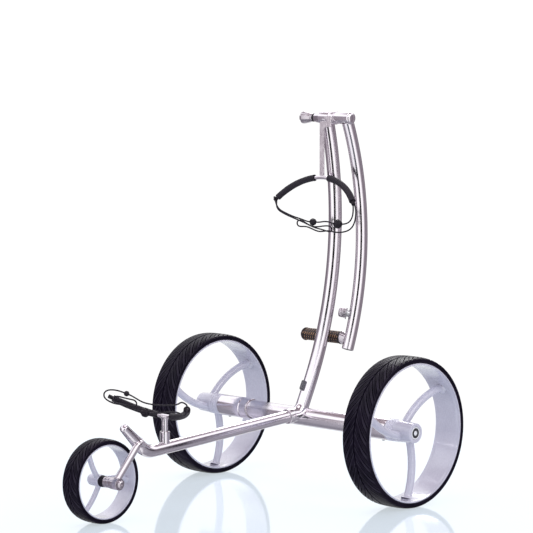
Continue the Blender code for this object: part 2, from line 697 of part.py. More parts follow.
def make_rear_wheel(side, sign):
    out = X_AXIS * sign
    centre = AXLE + out * (TRACK / 2)
    body = new_body(side + "_wheel", centre)
    rim_r = REAR_WHEEL_R - REAR_TYRE_DEPTH
    tyre = turned(side + "_tyre", tyre_profile(REAR_WHEEL_R, REAR_TYRE_DEPTH, REAR_TYRE_WIDTH),
                  centre, out, WHEEL_STEPS)
    add_piece(tyre, "rubber", body)

    rim = turned(side + "_rim", rim_profile(rim_r, REAR_TYRE_WIDTH, RIM_WALL, RIM_LIP),
                 centre, out, WHEEL_STEPS)
    pocket = BUTTON_R + GAP
    bore = SHAFT_R + GAP
    hub_profile = [
        (HUB_TIP_R - EDGE, HUB_END),
        (HUB_TIP_R, HUB_END - EDGE),
        (HUB_R, -HUB_END * 0.3),
        (HUB_R, -HUB_START),
        (bore, -HUB_START),
        (bore, HUB_END - BUTTON_DEPTH),
        (pocket, HUB_END - BUTTON_DEPTH),
        (pocket, HUB_END),
    ]
    hub = turned(side + "_hub", hub_profile, centre, out, MIDDLE_STEPS)
    start_r = bore + REAR_SPOKE_R + EDGE
    end_r = rim_r - RIM_WALL / 3
    three = spokes(side + "_spokes", centre, start_r, end_r + REAR_SPOKE_R / 3, REAR_SPOKE_START_DEG,
                   REAR_SPOKE_SWEEP_DEG, REAR_SPOKE_BOW, REAR_SPOKE_R, end_r)
    join(rim, three)
    join(rim, hub)
    button_hollow = HUB_END - BUTTON_DEPTH
    rim = cut(rim, rod(side + "_pocket", pocket, button_hollow, HUB_END + OVERCUT, centre, out, MIDDLE_STEPS))
    add_piece(rim, "white_paint", body)

    press = new_body(side + "_button", centre + out * HUB_END)
    low = HUB_END - BUTTON_DEPTH + BUTTON_TRAVEL + RUNNING_GAP
    profile = [
        (0.0, HUB_END - GAP),
        (BUTTON_R - EDGE, HUB_END - GAP),
        (BUTTON_R, HUB_END - GAP - EDGE),
        (BUTTON_R, low),
        (0.0, low),
    ]
    button = turned(side + "_release_button", profile, centre, out, MIDDLE_STEPS, closed=False)
    add_piece(button, "white_plastic", press)


def make_front_wheel():
    centre = FRONT_AXLE + X_AXIS * FRONT_WHEEL_X
    body = new_body("front_wheel", centre)
    rim_r = FRONT_WHEEL_R - FRONT_TYRE_DEPTH
    wall = RIM_WALL * 0.8
    tyre = turned("front_tyre", tyre_profile(FRONT_WHEEL_R, FRONT_TYRE_DEPTH, FRONT_TYRE_WIDTH),
                  centre, X_AXIS, WHEEL_STEPS)
    add_piece(tyre, "rubber", body)
    rim = turned("front_rim", rim_profile(rim_r, FRONT_TYRE_WIDTH, wall, RIM_LIP),
                 centre, X_AXIS, WHEEL_STEPS)
    bore = FRONT_BEARING_R + GAP
    near = FRONT_HUB_END_X
    far = FRONT_HUB_END_X - FRONT_HUB_LENGTH
    bore_end = far + FRONT_HUB_FLOOR
    # The blind bore's profile meets the axis twice, so it isn't a closed loop.
    hub_profile = [
        (0.0, bore_end),
        (bore, bore_end),
        (bore, near),
        (FRONT_HUB_R - EDGE, near),
        (FRONT_HUB_R, near - EDGE),
        (FRONT_HUB_R * 0.94, bore_end),
        (FRONT_HUB_R * 0.70, far),
        (0.0, far),
    ]
    hub = turned("front_hub", hub_profile, FRONT_AXLE, X_AXIS, SMALL_STEPS, closed=False)
    plane = FRONT_AXLE + X_AXIS * (FRONT_WHEEL_X - FRONT_SPOKE_INSET)
    start_r = bore + (FRONT_HUB_R - bore) / 2
    end_r = rim_r - wall / 3
    three = spokes("front_spokes", plane, start_r, end_r + EDGE, FRONT_SPOKE_START_DEG,
                   FRONT_SPOKE_SWEEP_DEG, FRONT_SPOKE_BOW, FRONT_SPOKE_R, end_r)
    join(rim, three)
    join(rim, hub)
    rim = cut(rim, rod("front_bore", bore, bore_end, near + OVERCUT, FRONT_AXLE, X_AXIS, SMALL_STEPS))
    add_piece(rim, "white_paint", body)
    bearing = ring("front_bearing", FRONT_BEARING_R, AXLE_BOLT_R + GAP, bore_end + GAP, near,
                   FRONT_AXLE, X_AXIS)
    add_piece(bearing, "dark_steel", body)
    seal = ring("front_seal", FRONT_HUB_R - 0.0008, AXLE_BOLT_R + GAP, near + GAP, near + SEAL_LENGTH,
                FRONT_AXLE, X_AXIS)
    add_piece(seal, "rubber", body)


# Front frame

def make_front_frame():
    body = new_body("front_frame", COLLAR)
    path = front_path()
    tube = bent_tube("front_tube", path, FRONT_TUBE_R, TUBE_WALL, tapers=front_tapers(path))
    add_piece(tube, "steel", body)
    cap_profile = [
        (0.0, NOSE_TIP_R * 0.62),
        (NOSE_TIP_R * 0.50, NOSE_TIP_R * 0.53),
        (NOSE_TIP_R * 0.86, NOSE_TIP_R * 0.30),
        (NOSE_TIP_R, GAP),
        (0.0, GAP),
    ]
    cap = turned("nose_cap", cap_profile, path[-1], NOSE_DIR, SMALL_STEPS, closed=False)
    add_piece(cap, "steel", body)
    in_tube_r = (FRONT_TUBE_R - TUBE_WALL) * TUBE_FLAT - GAP
    in_stub_r = (STEM_R - TUBE_WALL) * TUBE_FLAT - SPIGOT_CLEARANCE
    bore_r = min(in_tube_r, in_stub_r) - SPIGOT_WALL
    step = COLLAR_HALF + GAP
    spigot_profile = [
        (in_tube_r, SPIGOT_IN_TUBE - COLLAR_HALF),
        (in_tube_r, -COLLAR_HALF + RUNNING_GAP),
        (in_stub_r, -step),
        (in_stub_r, -step - SPIGOT_IN_STUB),
        (bore_r, -step - SPIGOT_IN_STUB),
        (bore_r, SPIGOT_IN_TUBE - COLLAR_HALF),
    ]
    spigot = turned("front_spigot", spigot_profile, COLLAR, FRONT_DIR)
    add_piece(spigot, "dark_steel", body)

    boss_end = FRONT_HUB_END_X + SEAL_LENGTH + RUNNING_GAP + SPACER_LENGTH + GAP
    boss = ring("fork_boss", BOSS_R, AXLE_BOLT_R + GAP, boss_end, boss_end + BOSS_LENGTH, FRONT_AXLE, X_AXIS)
    foot = FRONT_AXLE + Vector((boss_end + BOSS_LENGTH * 0.58, 0.001, BOSS_R * 0.62))
    elbow = NOSE_BEND + NOSE_DIR * FORK_ELBOW_ALONG + X_AXIS * FRONT_TUBE_R * 0.76
    root = NOSE_BEND + NOSE_DIR * FORK_ROOT_ALONG + Vector((FRONT_TUBE_R * 0.35, 0, FRONT_TUBE_R * 0.32))
    arm = bent_bar("fork_arm", filleted([foot, elbow, root], FORK_ARM_FILLET, 5), FORK_ARM_R)
    join(arm, boss)
    cut(arm, rod("axle_hole", AXLE_BOLT_R + GAP, boss_end - OVERCUT, boss_end + BOSS_LENGTH + OVERCUT,
                 FRONT_AXLE, X_AXIS))
    cut(arm, FRONT_TUBE_CUTTER)
    add_piece(arm, "steel", body)

    head = boss_end + BOSS_LENGTH + GAP
    bolt_end = FRONT_HUB_END_X - FRONT_HUB_LENGTH + FRONT_HUB_FLOOR + RUNNING_GAP
    bolt_profile = [
        (0.0, head + AXLE_HEAD_LENGTH),
        (AXLE_HEAD_R * 0.6, head + AXLE_HEAD_LENGTH),
        (AXLE_HEAD_R, head + AXLE_HEAD_LENGTH * 0.55),
        (AXLE_HEAD_R, head),
        (AXLE_BOLT_R, head),
        (AXLE_BOLT_R, bolt_end),
        (0.0, bolt_end),
    ]
    bolt = turned("front_axle", bolt_profile, FRONT_AXLE, X_AXIS, SMALL_STEPS, closed=False)
    add_piece(bolt, "steel", body)
    spacer_start = FRONT_HUB_END_X + SEAL_LENGTH + RUNNING_GAP
    spacer = ring("front_spacer", SPACER_R, AXLE_BOLT_R + GAP, spacer_start, spacer_start + SPACER_LENGTH,
                  FRONT_AXLE, X_AXIS)
    add_piece(spacer, "steel", body)

    nut_at = Vector((0, LOWER_CRADLE.y, 0))
    tube_z = COLLAR.z - (COLLAR.y - LOWER_CRADLE.y) * math.tan(FRONT_SLOPE)
    nut_low = tube_z + FRONT_TUBE_R * 0.45
    nut_high = tube_z + FRONT_TUBE_R + NUT_HEIGHT
    edge = NUT_R * 0.12
    bore = POST_R + GAP
    nut_profile = [
        (NUT_R - edge, nut_high),
        (NUT_R, nut_high - edge),
        (NUT_R, nut_low),
        (bore, nut_low),
        (bore, nut_high),
    ]
    nut = turned("lower_bracket_nut", nut_profile, nut_at, Z_AXIS, SMALL_STEPS)
    add_piece(cut(nut, FRONT_TUBE_CUTTER), "steel", body)
    return tube_z + FRONT_TUBE_R + RUNNING_GAP


# Stem and collar

def make_stem():
    path = stem_path()
    stem = bent_tube("stem_tube", path, STEM_R, TUBE_WALL)
    cut(stem, rod("axle_cope", AXLE_TUBE_R + GAP, -STEM_R * 3, STEM_R * 3, AXLE, X_AXIS, MIDDLE_STEPS))
    cut(stem, rod("barrel_cope", BARREL_R + GAP, -STEM_R * 3, STEM_R * 3, HINGE, X_AXIS, MIDDLE_STEPS))
    cut(stem, rod("ring_cope", RING_R + RUNNING_GAP, RING_START_X, STEM_R * 3, HINGE, X_AXIS, MIDDLE_STEPS))
    add_piece(stem, "steel")

    inner = FRONT_TUBE_R + GAP
    outer = inner + COLLAR_WALL
    profile = [
        (outer - EDGE, COLLAR_HALF),
        (outer, COLLAR_HALF - EDGE),
        (outer, -COLLAR_HALF + EDGE),
        (outer - EDGE, -COLLAR_HALF),
        (inner, -COLLAR_HALF),
        (inner, COLLAR_HALF),
    ]
    collar = turned("socket_collar", profile, COLLAR, FRONT_DIR, MIDDLE_STEPS)
    cut(collar, rod("button_hole", LOCK_BUTTON_R + GAP, 0.0, outer * 2, COLLAR, X_AXIS, SMALL_STEPS))
    add_piece(collar, "steel")
    press = new_body("lock_button", COLLAR + X_AXIS * outer)
    low = FRONT_TUBE_R + 2 * GAP
    profile = [
        (0.0, low + LOCK_BUTTON_LENGTH),
        (LOCK_BUTTON_R * 0.75, low + LOCK_BUTTON_LENGTH),
        (LOCK_BUTTON_R, low + LOCK_BUTTON_LENGTH * 0.8),
        (LOCK_BUTTON_R, low),
        (0.0, low),
    ]
    button = turned("lock_button", profile, COLLAR, X_AXIS, SMALL_STEPS, closed=False)
    add_piece(button, "steel", press)

    at, along = at_height(path, AXLE.z + SOCKET_RISE)
    out = X_AXIS.cross(along).normalized()
    if out.y > 0:
        out = -out
    centre = at + out * (STEM_R + SOCKET_STAND_OFF - SOCKET_SIZE[1] / 2)
    lean = math.atan2(-along.y, along.z)
    socket = box("battery_socket", SOCKET_SIZE, centre, (lean, 0, 0), 0.0008)
    keep = bent_bar("stem_cope", path, STEM_R + GAP)
    add_piece(cut(socket, keep), "black_plastic")


# Top hinge, handle and knob

def make_hinge():
    bore = HINGE_BOLT_R + GAP
    barrel = ring("stem_barrel", BARREL_R, bore, BARREL_LEFT_X, RING_START_X - GAP,
                  HINGE, X_AXIS, MIDDLE_STEPS)
    add_piece(barrel, "steel")
    washer_high = BARREL_LEFT_X - GAP
    washer = ring("hinge_washer", BARREL_R * 0.9, bore, washer_high - WASHER_LENGTH, washer_high,
                  HINGE, X_AXIS)
    add_piece(washer, "rubber")
    knob_high = washer_high - WASHER_LENGTH - GAP
    knob_low = knob_high - KNOB_LENGTH
    bolt = rod("hinge_bolt", HINGE_BOLT_R, knob_high - BOLT_IN_KNOB, RING_END_X + BOLT_IN_HANDLE,
               HINGE, X_AXIS)
    add_piece(bolt, "dark_steel")

    turn = new_body("clamp_knob", HINGE + X_AXIS * knob_low)
    blind = knob_high - BOLT_IN_KNOB - RUNNING_GAP
    profile = [
        (0.0, blind),
        (bore, blind),
        (bore, knob_high),
        (KNOB_NECK_R, knob_high),
        (KNOB_NECK_R, knob_high - 0.006),
        (KNOB_R - 0.0006, knob_high - 0.018),
        (KNOB_R, knob_low + 0.003),
        (KNOB_R - 0.0015, knob_low),
        (0.0, knob_low),
    ]
    knob = turned("clamp_knob", profile, HINGE, X_AXIS, MIDDLE_STEPS, closed=False)
    add_piece(knob, "steel", turn)


def make_handle():
    body = new_body("handle", HINGE)
    bore = HINGE_BOLT_R + GAP
    low = RING_END_X + GAP
    high = HANDLE_BARREL_END_X
    blind = RING_END_X + BOLT_IN_HANDLE + RUNNING_GAP
    round_end = 0.006
    profile = [
        (0.0, high),
        (BARREL_R * 0.62, high - EDGE),
        (BARREL_R * 0.90, high - round_end * 0.45),
        (BARREL_R, high - round_end),
        (BARREL_R, low),
        (bore, low),
        (bore, blind),
        (0.0, blind),
    ]
    barrel = turned("handle_barrel", profile, HINGE, X_AXIS, MIDDLE_STEPS, closed=False)
    add_piece(barrel, "steel", body)

    path = handle_path()
    tube = bent_tube("handle_tube", path, HANDLE_R, TUBE_WALL)
    cut(tube, rod("handle_cope", BARREL_R + GAP, 0.0, HANDLE_X * 2, HINGE, X_AXIS, MIDDLE_STEPS))
    add_piece(tube, "steel", body)
    down = (path[-1] - path[-2]).normalized()
    plug_r = (HANDLE_R - TUBE_WALL) * TUBE_FLAT - GAP
    plug = rod("handle_end_plug", plug_r, -PLUG_LENGTH, -0.0005, path[-1], down)
    add_piece(plug, "black_plastic", body)

    at, along = at_height(path, GRIP_Z)
    middle = Vector((0, at.y, at.z))
    cap_x = GRIP_END_X
    core_profile = [
        (0.0, at.x),
        (GRIP_CORE_R, at.x),
        (GRIP_CORE_R, GRIP_COLLAR_X + GRIP_COLLAR_FLARE),
        (GRIP_R, GRIP_COLLAR_X + 0.002),
        (GRIP_R, GRIP_COLLAR_X),
        (GRIP_CORE_R, GRIP_COLLAR_X),
        (GRIP_CORE_R, cap_x),
        (0.0, cap_x),
    ]
    core = turned("grip_core", core_profile, middle, X_AXIS, SMALL_STEPS, closed=False)
    keep = bent_bar("grip_cope", path, HANDLE_R + GAP)
    add_piece(cut(core, keep), "steel", body)
    sleeve = ring("grip_sleeve", GRIP_R, GRIP_CORE_R + GAP, cap_x + GAP, GRIP_COLLAR_X - GAP, middle, X_AXIS)
    add_piece(sleeve, "leather", body)
    cap_profile = [
        (0.0, -GAP),
        (GRIP_R * 0.96, -GAP),
        (GRIP_R * 0.96, -GRIP_CAP_LENGTH * 0.35),
        (GRIP_R * 0.60, -GRIP_CAP_LENGTH),
        (0.0, -GRIP_CAP_LENGTH),
    ]
    cap = turned("grip_end_cap", cap_profile, middle + X_AXIS * cap_x, X_AXIS, SMALL_STEPS, closed=False)
    add_piece(cap, "steel", body)

    at, along = at_height(path, DIAL_Z)
    turn = math.radians(DIAL_TURN_DEG)
    out = Vector((-math.cos(turn), -math.sin(turn), 0))
    out = (out - along * out.dot(along)).normalized()
    flange_low = HANDLE_R + DIAL_STAND_OFF
    flange_high = flange_low + DIAL_FLANGE_LENGTH
    base_profile = [
        (0.0, flange_high),
        (DIAL_FLANGE_R, flange_high),
        (DIAL_FLANGE_R, flange_low),
        (DIAL_R * 0.75, flange_low),
        (DIAL_R * 0.75, HANDLE_R * 0.6),
        (0.0, HANDLE_R * 0.6),
    ]
    base = turned("dial_base", base_profile, at, out, SMALL_STEPS, closed=False)
    add_piece(cut(base, keep), "dark_steel", body)
    dial_body = new_body("speed_dial", at + out * flange_high)
    dial_low = flange_high + GAP
    dial_high = dial_low + DIAL_LENGTH
    dial_profile = [
        (0.0, dial_high),
        (DIAL_R * 0.70, dial_high - 0.0002),
        (DIAL_R * 0.93, dial_high - 0.0018),
        (DIAL_R, dial_high - 0.0042),
        (DIAL_R, dial_low),
        (0.0, dial_low),
    ]
    dial = turned("speed_dial", dial_profile, at, out, SMALL_STEPS, closed=False)
    add_piece(dial, "steel", dial_body)


# Bag cradles

def make_cradle(level, centre, tilt_deg, cord, toggles, body):
    """The bent bar's two pads, its elastic cord and the cord's toggles."""
    for side, sign in (("left", 1), ("right", -1)):
        arm = pad_path(centre, tilt_deg, sign)
        pad = bent_tube(level + "_pad_" + side, arm, PAD_R, PAD_R - BAR_R - GAP, resolution=3)
        add_piece(pad, "rubber", body)
    route = [centre + Vector(point) for point in cord]
    bungee = bent_curve(level + "_bungee", smooth_route(route, CORD_SPACING), CORD_R, CORD_RESOLUTION)
    add_piece(bungee, "cord", body)
    for name, index, radius in toggles:
        along = (route[index + 1] - route[index - 1]).normalized()
        bore = CORD_R + TOGGLE_BORE_GAP
        first = math.asin(bore / radius)
        span = math.pi - 2 * first
        angles = [first + span * i / (TOGGLE_RINGS - 1) for i in range(TOGGLE_RINGS)]
        profile = [(radius * math.sin(a), radius * math.cos(a)) for a in angles]
        add_piece(turned(name, profile, route[index], along, TOGGLE_STEPS), "rubber", body)


def cradle_bar(name, centre, tilt_deg):
    """The bar bends at the same points as its pads, so that they fit round it."""
    half = [pad_path(centre, tilt_deg, sign) for sign in (-1, 1)]
    path = half[0][::-1] + [centre] + half[1]
    start = path[0] + (path[0] - path[1]).normalized() * BAR_STUB
    end = path[-1] + (path[-1] - path[-2]).normalized() * BAR_STUB
    return bent_bar(name, [start] + path + [end], BAR_R, resolution=2)


def make_upper_cradle():
    body = new_body("upper_cradle", HINGE)
    bar = cradle_bar("upper_cradle", UPPER_CRADLE, UPPER_TILT_DEG)
    add_piece(bar, "steel", body)
    plate = bpy.data.curves.new("upper_bracket_plate", "CURVE")
    plate.dimensions = "2D"
    plate.fill_mode = "BOTH"
    plate.extrude = ARM_PLATE_THICKNESS / 2
    low = UPPER_CRADLE.z + BAR_R + GAP - HINGE.z
    half = ARM_PLATE_WIDTH / 2
    ring_low = RING_START_X + GAP
    ring_high = RING_END_X - GAP
    tab_low = -ARM_TAB_DROP - ARM_TAB_HEIGHT
    outline = [
        (-half, low), (half, low), (half, tab_low), (ring_high - 0.001, tab_low),
        (ring_high - 0.001, BARREL_R * 0.35), (ring_low + 0.001, BARREL_R * 0.35),
        (ring_low + 0.001, -ARM_TAB_DROP), (-half, -ARM_TAB_DROP),
    ]
    spline = plate.splines.new("POLY")
    spline.points.add(len(outline) - 1)
    spline.use_cyclic_u = True
    for point, (across, up) in zip(spline.points, outline):
        point.co = (across, up, 0, 1)
    plate_obj = bpy.data.objects.new("upper_bracket_arm", plate)
    plate_obj.location = (0, UPPER_CRADLE.y, HINGE.z)
    plate_obj.rotation_euler = (math.pi / 2, 0, 0)
    arm = as_mesh(plate_obj)
    join(arm, ring("bracket_ring", RING_R, HINGE_BOLT_R, ring_low, ring_high, HINGE, X_AXIS, MIDDLE_STEPS))
    cut(arm, rod("bolt_hole", HINGE_BOLT_R + GAP, ring_low - OVERCUT, ring_high + OVERCUT, HINGE, X_AXIS))
    add_piece(arm, "steel", body)
    make_cradle("upper", UPPER_CRADLE, UPPER_TILT_DEG, UPPER_CORD, UPPER_TOGGLES, body)


def make_lower_cradle(post_low):
    body = new_body("lower_cradle", LOWER_CRADLE)
    bar = cradle_bar("lower_cradle", LOWER_CRADLE, LOWER_TILT_DEG)
    post_high = LOWER_CRADLE.z + BAR_R * 0.5
    join(bar, rod("lower_post", POST_R, post_low, post_high, Vector((0, LOWER_CRADLE.y, 0)), Z_AXIS))
    add_piece(bar, "steel", body)
    make_cradle("lower", LOWER_CRADLE, LOWER_TILT_DEG, LOWER_CORD, LOWER_TOGGLES, body)


clear_scene()
TROLLEY = new_collection("electric_golf_trolley")
CUTTERS = new_collection("cutters")
LOOKS = {
    "steel": new_material("steel", (0.78, 0.77, 0.79), 0.16, 1.0),
    "dark_steel": new_material("dark_steel", (0.42, 0.42, 0.45), 0.35, 1.0),
    "white_paint": new_material("white_paint", (0.82, 0.83, 0.87), 0.30),
    "white_plastic": new_material("white_plastic", (0.80, 0.81, 0.84), 0.35),
    "rubber": new_material("rubber", (0.025, 0.023, 0.030), 0.60),
    "black_plastic": new_material("black_plastic", (0.04, 0.04, 0.045), 0.45),
    "leather": new_material("leather", (0.10, 0.055, 0.035), 0.65),
    "cord": new_material("cord", (0.03, 0.03, 0.035), 0.80),
    "motor": new_material("motor", (0.30, 0.30, 0.32), 0.40, 1.0),
    "gearbox": new_material("gearbox", (0.55, 0.55, 0.57), 0.45, 1.0),
    "board": new_material("board", (0.03, 0.18, 0.08), 0.50),
}
FRONT_TUBE_CUTTER = bent_bar("front_tube_cope", front_path(), FRONT_TUBE_R + GAP,
                             tapers=front_tapers(front_path(), GAP))
make_axle()
for side_name, side_sign in (("left", 1), ("right", -1)):
    make_drive(side_name, side_sign)
    make_rear_wheel(side_name, side_sign)
make_stem()
make_hinge()
make_handle()
make_front_wheel()
make_upper_cradle()
make_lower_cradle(make_front_frame())
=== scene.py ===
"""The looks of a three-wheeled electric golf trolley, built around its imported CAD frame.

Metres, +Z up, front wheel towards -Y, the trolley's left side at +X. Every place comes from the CAD nodes'
boxes and from the layout numbers of the CAD source. Heights along a turned piece run along its own axis.
"""

import math

import bmesh
import bpy
from mathutils import Matrix, Vector


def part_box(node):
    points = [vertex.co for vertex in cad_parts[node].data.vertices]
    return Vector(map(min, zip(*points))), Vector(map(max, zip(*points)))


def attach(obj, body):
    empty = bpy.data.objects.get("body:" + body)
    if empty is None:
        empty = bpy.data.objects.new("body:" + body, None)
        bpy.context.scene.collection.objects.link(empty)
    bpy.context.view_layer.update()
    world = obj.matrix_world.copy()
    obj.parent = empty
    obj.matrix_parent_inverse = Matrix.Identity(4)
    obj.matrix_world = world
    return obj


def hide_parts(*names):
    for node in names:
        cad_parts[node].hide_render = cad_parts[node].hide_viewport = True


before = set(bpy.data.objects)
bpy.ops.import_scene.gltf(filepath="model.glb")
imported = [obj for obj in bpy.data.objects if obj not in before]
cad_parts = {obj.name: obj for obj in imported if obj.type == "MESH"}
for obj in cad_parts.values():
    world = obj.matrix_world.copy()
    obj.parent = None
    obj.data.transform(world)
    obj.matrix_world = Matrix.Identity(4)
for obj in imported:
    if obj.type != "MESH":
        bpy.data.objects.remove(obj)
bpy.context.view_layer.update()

X_AXIS = Vector((1, 0, 0))
Z_AXIS = Vector((0, 0, 1))


def middle(node):
    low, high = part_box(node)
    return (low + high) / 2


def span(node, axis=0):
    """Where a node begins and ends along an axis."""
    low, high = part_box(node)
    return low[axis], high[axis]


def on_centre_line(point):
    return Vector((0, point.y, point.z))


# Places and sizes from the CAD
AXLE = middle("axle_tube")
HINGE = on_centre_line(middle("stem_barrel"))
FRONT_AXLE = on_centre_line(middle("front_tyre"))
FRONT_WHEEL_X = middle("front_tyre").x
WHEELBASE = AXLE.y - FRONT_AXLE.y
REAR_WHEEL_R = AXLE.z
FRONT_WHEEL_R = FRONT_AXLE.z

# Layout numbers shared with the CAD source
STEM_R = 0.014
STEM_BEND_R = 0.8
STEM_FOOT_BACK = 0.0096
STEM_FOOT_RISE = 0.054
STEM_FOOT_FILLET = 0.03
TUBE_WALL = 0.0015
FRONT_TUBE_R = 0.0125
COLLAR = AXLE + Vector((0, -0.045, 0.006))
COLLAR_HALF = 0.007
COLLAR_R = 0.0155
FRONT_SLOPE = math.radians(3.6)
FRONT_DIR = Vector((0, -math.cos(FRONT_SLOPE), -math.sin(FRONT_SLOPE)))
NOSE_BEND_BEHIND = 0.0785
NOSE_BEND = COLLAR + FRONT_DIR * ((COLLAR.y - FRONT_AXLE.y - NOSE_BEND_BEHIND) / math.cos(FRONT_SLOPE))
NOSE_BEND_R = 0.042
NOSE_ANGLE = math.radians(43.4)
NOSE_DIR = Vector((0, -math.cos(NOSE_ANGLE), math.sin(NOSE_ANGLE)))
NOSE_LENGTH = 0.078
NOSE_TIP_R = 0.0085
BARREL_R = 0.0125
HANDLE_R = 0.0125
HANDLE_X = 0.055
HANDLE_LEAN = 0.0085
HANDLE_END = Vector((HANDLE_X - HANDLE_LEAN, AXLE.y + 0.081, 0.286))
HANDLE_BOW = 0.0452
GRIP_Z = 0.308
DIAL_Z = 0.357
DIAL_TURN = math.radians(45.0)
BAR_R = 0.004
PAD_R = 0.00675
CRADLE_BEND_R = 0.135
CRADLE_HALF_WIDTH = 0.1045
PAD_START = 0.0195
DIPPED_FROM = -0.0015
UPPER_CRADLE = Vector((0, AXLE.y + 0.0525, 0.6415))
LOWER_CRADLE = AXLE + Vector((0, 0.128 - WHEELBASE, 0.0457))
UPPER_TILT = math.radians(63.0)
LOWER_TILT = math.radians(-35.0)

# Camera
CAMERA_AT = Vector((2.9768, -2.9471, 0.842))
CAMERA_DIR = Vector((-0.69444, 0.71423, -0.08732))
CAMERA_LENS = 143.85
SENSOR = 36.0

# Elastic cords: the same points as in the CAD source, in millimetres from the middle of each cradle's bar
MM_PER_M = 1000
CORD_R = 0.0015
CORD_SPACING = 0.0075
UPPER_CORD = [
    (112.4, -24.5, -51.1), (115.1, -25.8, -53.7), (118.2, -27.6, -59), (119.6, -28.8, -69),
    (117, -28.5, -83), (108, -26.5, -96), (93, -24.5, -104.5), (74, -24.5, -108.5), (56, -25.2, -108.5),
    (43, -25.5, -106.5), (31, -25.5, -108), (16, -25.5, -109.5), (1, -25.5, -106.5), (-14, -25.5, -102),
    (-26.5, -25.5, -100.8), (-34.5, -25.5, -101.8), (-41, -25.5, -101.6), (-45.7, -25.3, -99.6),
    (-47.7, -25.2, -94.9), (-45.7, -25, -90.1), (-41, -25, -88.1), (-34.5, -24.9, -88.7),
    (-26.5, -24.5, -91.8), (-16, -23, -97), (-5, -21.8, -100.5), (8, -21.5, -100.3), (20, -21.5, -98.5),
    (32, -21.2, -97.2), (40.5, -20.8, -97.2), (45, -20.3, -99), (46.8, -19.8, -103.5), (45, -19, -108),
    (40.5, -18.4, -109.8), (29, -17.8, -108), (15, -17.5, -105.5), (0, -17.5, -103.5), (-14, -17.5, -100),
    (-28, -17.5, -95.5), (-41, -17.2, -91.8), (-53, -17.2, -88.5), (-64, -17.5, -85.5), (-80, -19, -80.5),
    (-96, -19, -75.2), (-108.5, -18.6, -69), (-113.5, -17.6, -61.5), (-112.6, -17.1, -54.5),
    (-112.1, -17.8, -48), (-113.3, -21.3, -43.5), (-112.2, -26.2, -42.2), (-108.9, -30.1, -43.8),
    (-105.2, -30.7, -48), (-103, -29.9, -55), (-101, -28.6, -62), (-94.5, -26.2, -69.5),
    (-81, -22.8, -75.7), (-64.5, -19.5, -81.7), (-53, -18, -84.5), (-40, -17.5, -87.2), (-26, -19.8, -90),
    (-15, -21.5, -91), (-5, -21.5, -91), (5, -21.5, -91), (15, -21.5, -90.5), (26, -21.5, -88.5),
    (39, -21.5, -88.8), (53, -21.5, -91.8), (64, -21.5, -92), (75, -21.5, -92), (90, -22.5, -89.5),
    (102, -25, -83), (110.5, -28.5, -73), (114, -30.6, -63), (113.8, -30.1, -56), (110.8, -27.5, -51.1),
]
LOWER_CORD = [
    (111.1, -46.5, 34.7), (113.8, -48.9, 36.4), (117, -52.1, 38.8), (118.8, -56, 41.8), (116, -59.2, 44.2),
    (109, -58.5, 44.8), (100, -54.5, 42), (90, -50, 38.2), (74, -45.8, 34.5), (45, -43.5, 30.5),
    (15, -43, 28.5), (-15, -43, 30), (-38, -43.1, 36.5), (-52, -43.5, 40.5), (-61, -43.7, 42),
    (-70, -43.9, 43.5), (-85, -44.4, 45.5), (-102, -45, 45.5), (-117, -45.5, 42.5), (-125.5, -45.8, 35.5),
    (-124, -45.8, 28.5), (-114, -45.8, 23.5), (-95, -45.5, 19.5), (-70, -45.5, 19.5), (-48, -45.5, 19),
    (-35, -45.5, 19.5), (-30.5, -45.6, 21.4), (-28.6, -45.8, 25.9), (-30.5, -46.2, 30.4),
    (-35, -46.6, 32.3), (-48, -47.5, 33), (-61, -48, 33.8), (-76, -48, 35), (-86, -48.2, 35),
    (-91, -49, 33), (-93, -50, 28.8), (-91, -51.2, 24.5), (-86, -52, 23), (-74, -52.2, 22.8),
    (-58, -51.2, 20), (-42, -48, 15), (-29, -44.5, 11.6), (-18.4, -43, 11), (-8.4, -43, 11), (1.6, -43, 11),
    (20, -43, 12.2), (40, -43.2, 15.8), (62, -44.2, 19.8), (80, -46.8, 21.8), (96, -51, 21.5),
    (108, -56.5, 20), (118, -60.4, 20.6), (123.6, -61.2, 24), (125.2, -59.8, 29), (123, -56.8, 32.3),
    (119, -53.3, 33.3), (114.8, -49.9, 32.9), (112.1, -47.5, 31.3),
]

# Seams, bores and other numbers that several pieces share
GAP = 0.0003
BOLT_HOLE_R = 0.0043
BAR_TIP = 0.0092
KNOB_LONGER = 0.004
ON_AXIS = 1e-6
CORD_WEAVE = (6.0, 3.0, 1.0)
STRANDS = 5
STRAND_PITCH = 0.03

LIGHTS_AIM = Vector((0, 0, 0.3))

# The dark gap beside the camera, bright boxes to both sides, and a dim room behind the trolley
STUDIO_TURN = math.radians(44.7)
DIM_ROOM = (0.22, 0.19, 0.22)
SOFT_GREY = (0.38, 0.34, 0.38)
CEILING = (1.4, 1.4, 1.44)
OVERHEAD = (0.34, 0.27, 0.3)
STUDIO_STRENGTH = 1.0
BACKDROP_STRENGTH = 1.05
STUDIO_BANDS = [
    (0.0, 0.9), (0.055, 0.9), (0.078, DIM_ROOM), (0.2, DIM_ROOM), (0.235, SOFT_GREY), (0.27, SOFT_GREY),
    (0.31, 1.4), (0.418, 1.4), (0.43, 0.01), (0.512, 0.01), (0.524, 1.4), (0.6, 1.3), (0.66, SOFT_GREY),
    (0.74, DIM_ROOM), (0.8, SOFT_GREY), (0.85, DIM_ROOM), (0.925, DIM_ROOM), (0.945, 0.9), (1.0, 0.9),
]
STUDIO_HEIGHT = [(0.0, 0.0), (0.34, 0.0), (0.44, 1.0), (1.0, 1.0)]
STUDIO_ABOVE = [(0.0, CEILING), (0.68, CEILING), (0.76, OVERHEAD), (1.0, OVERHEAD)]
FLOOR_R = 1.35
FLOOR_Z = -0.0002
FLOOR_COLOUR = (0.23, 0.275, 0.33)
FLOOR_ROUGHNESS = 0.07
FLOOR_FADE_FROM = 0.7
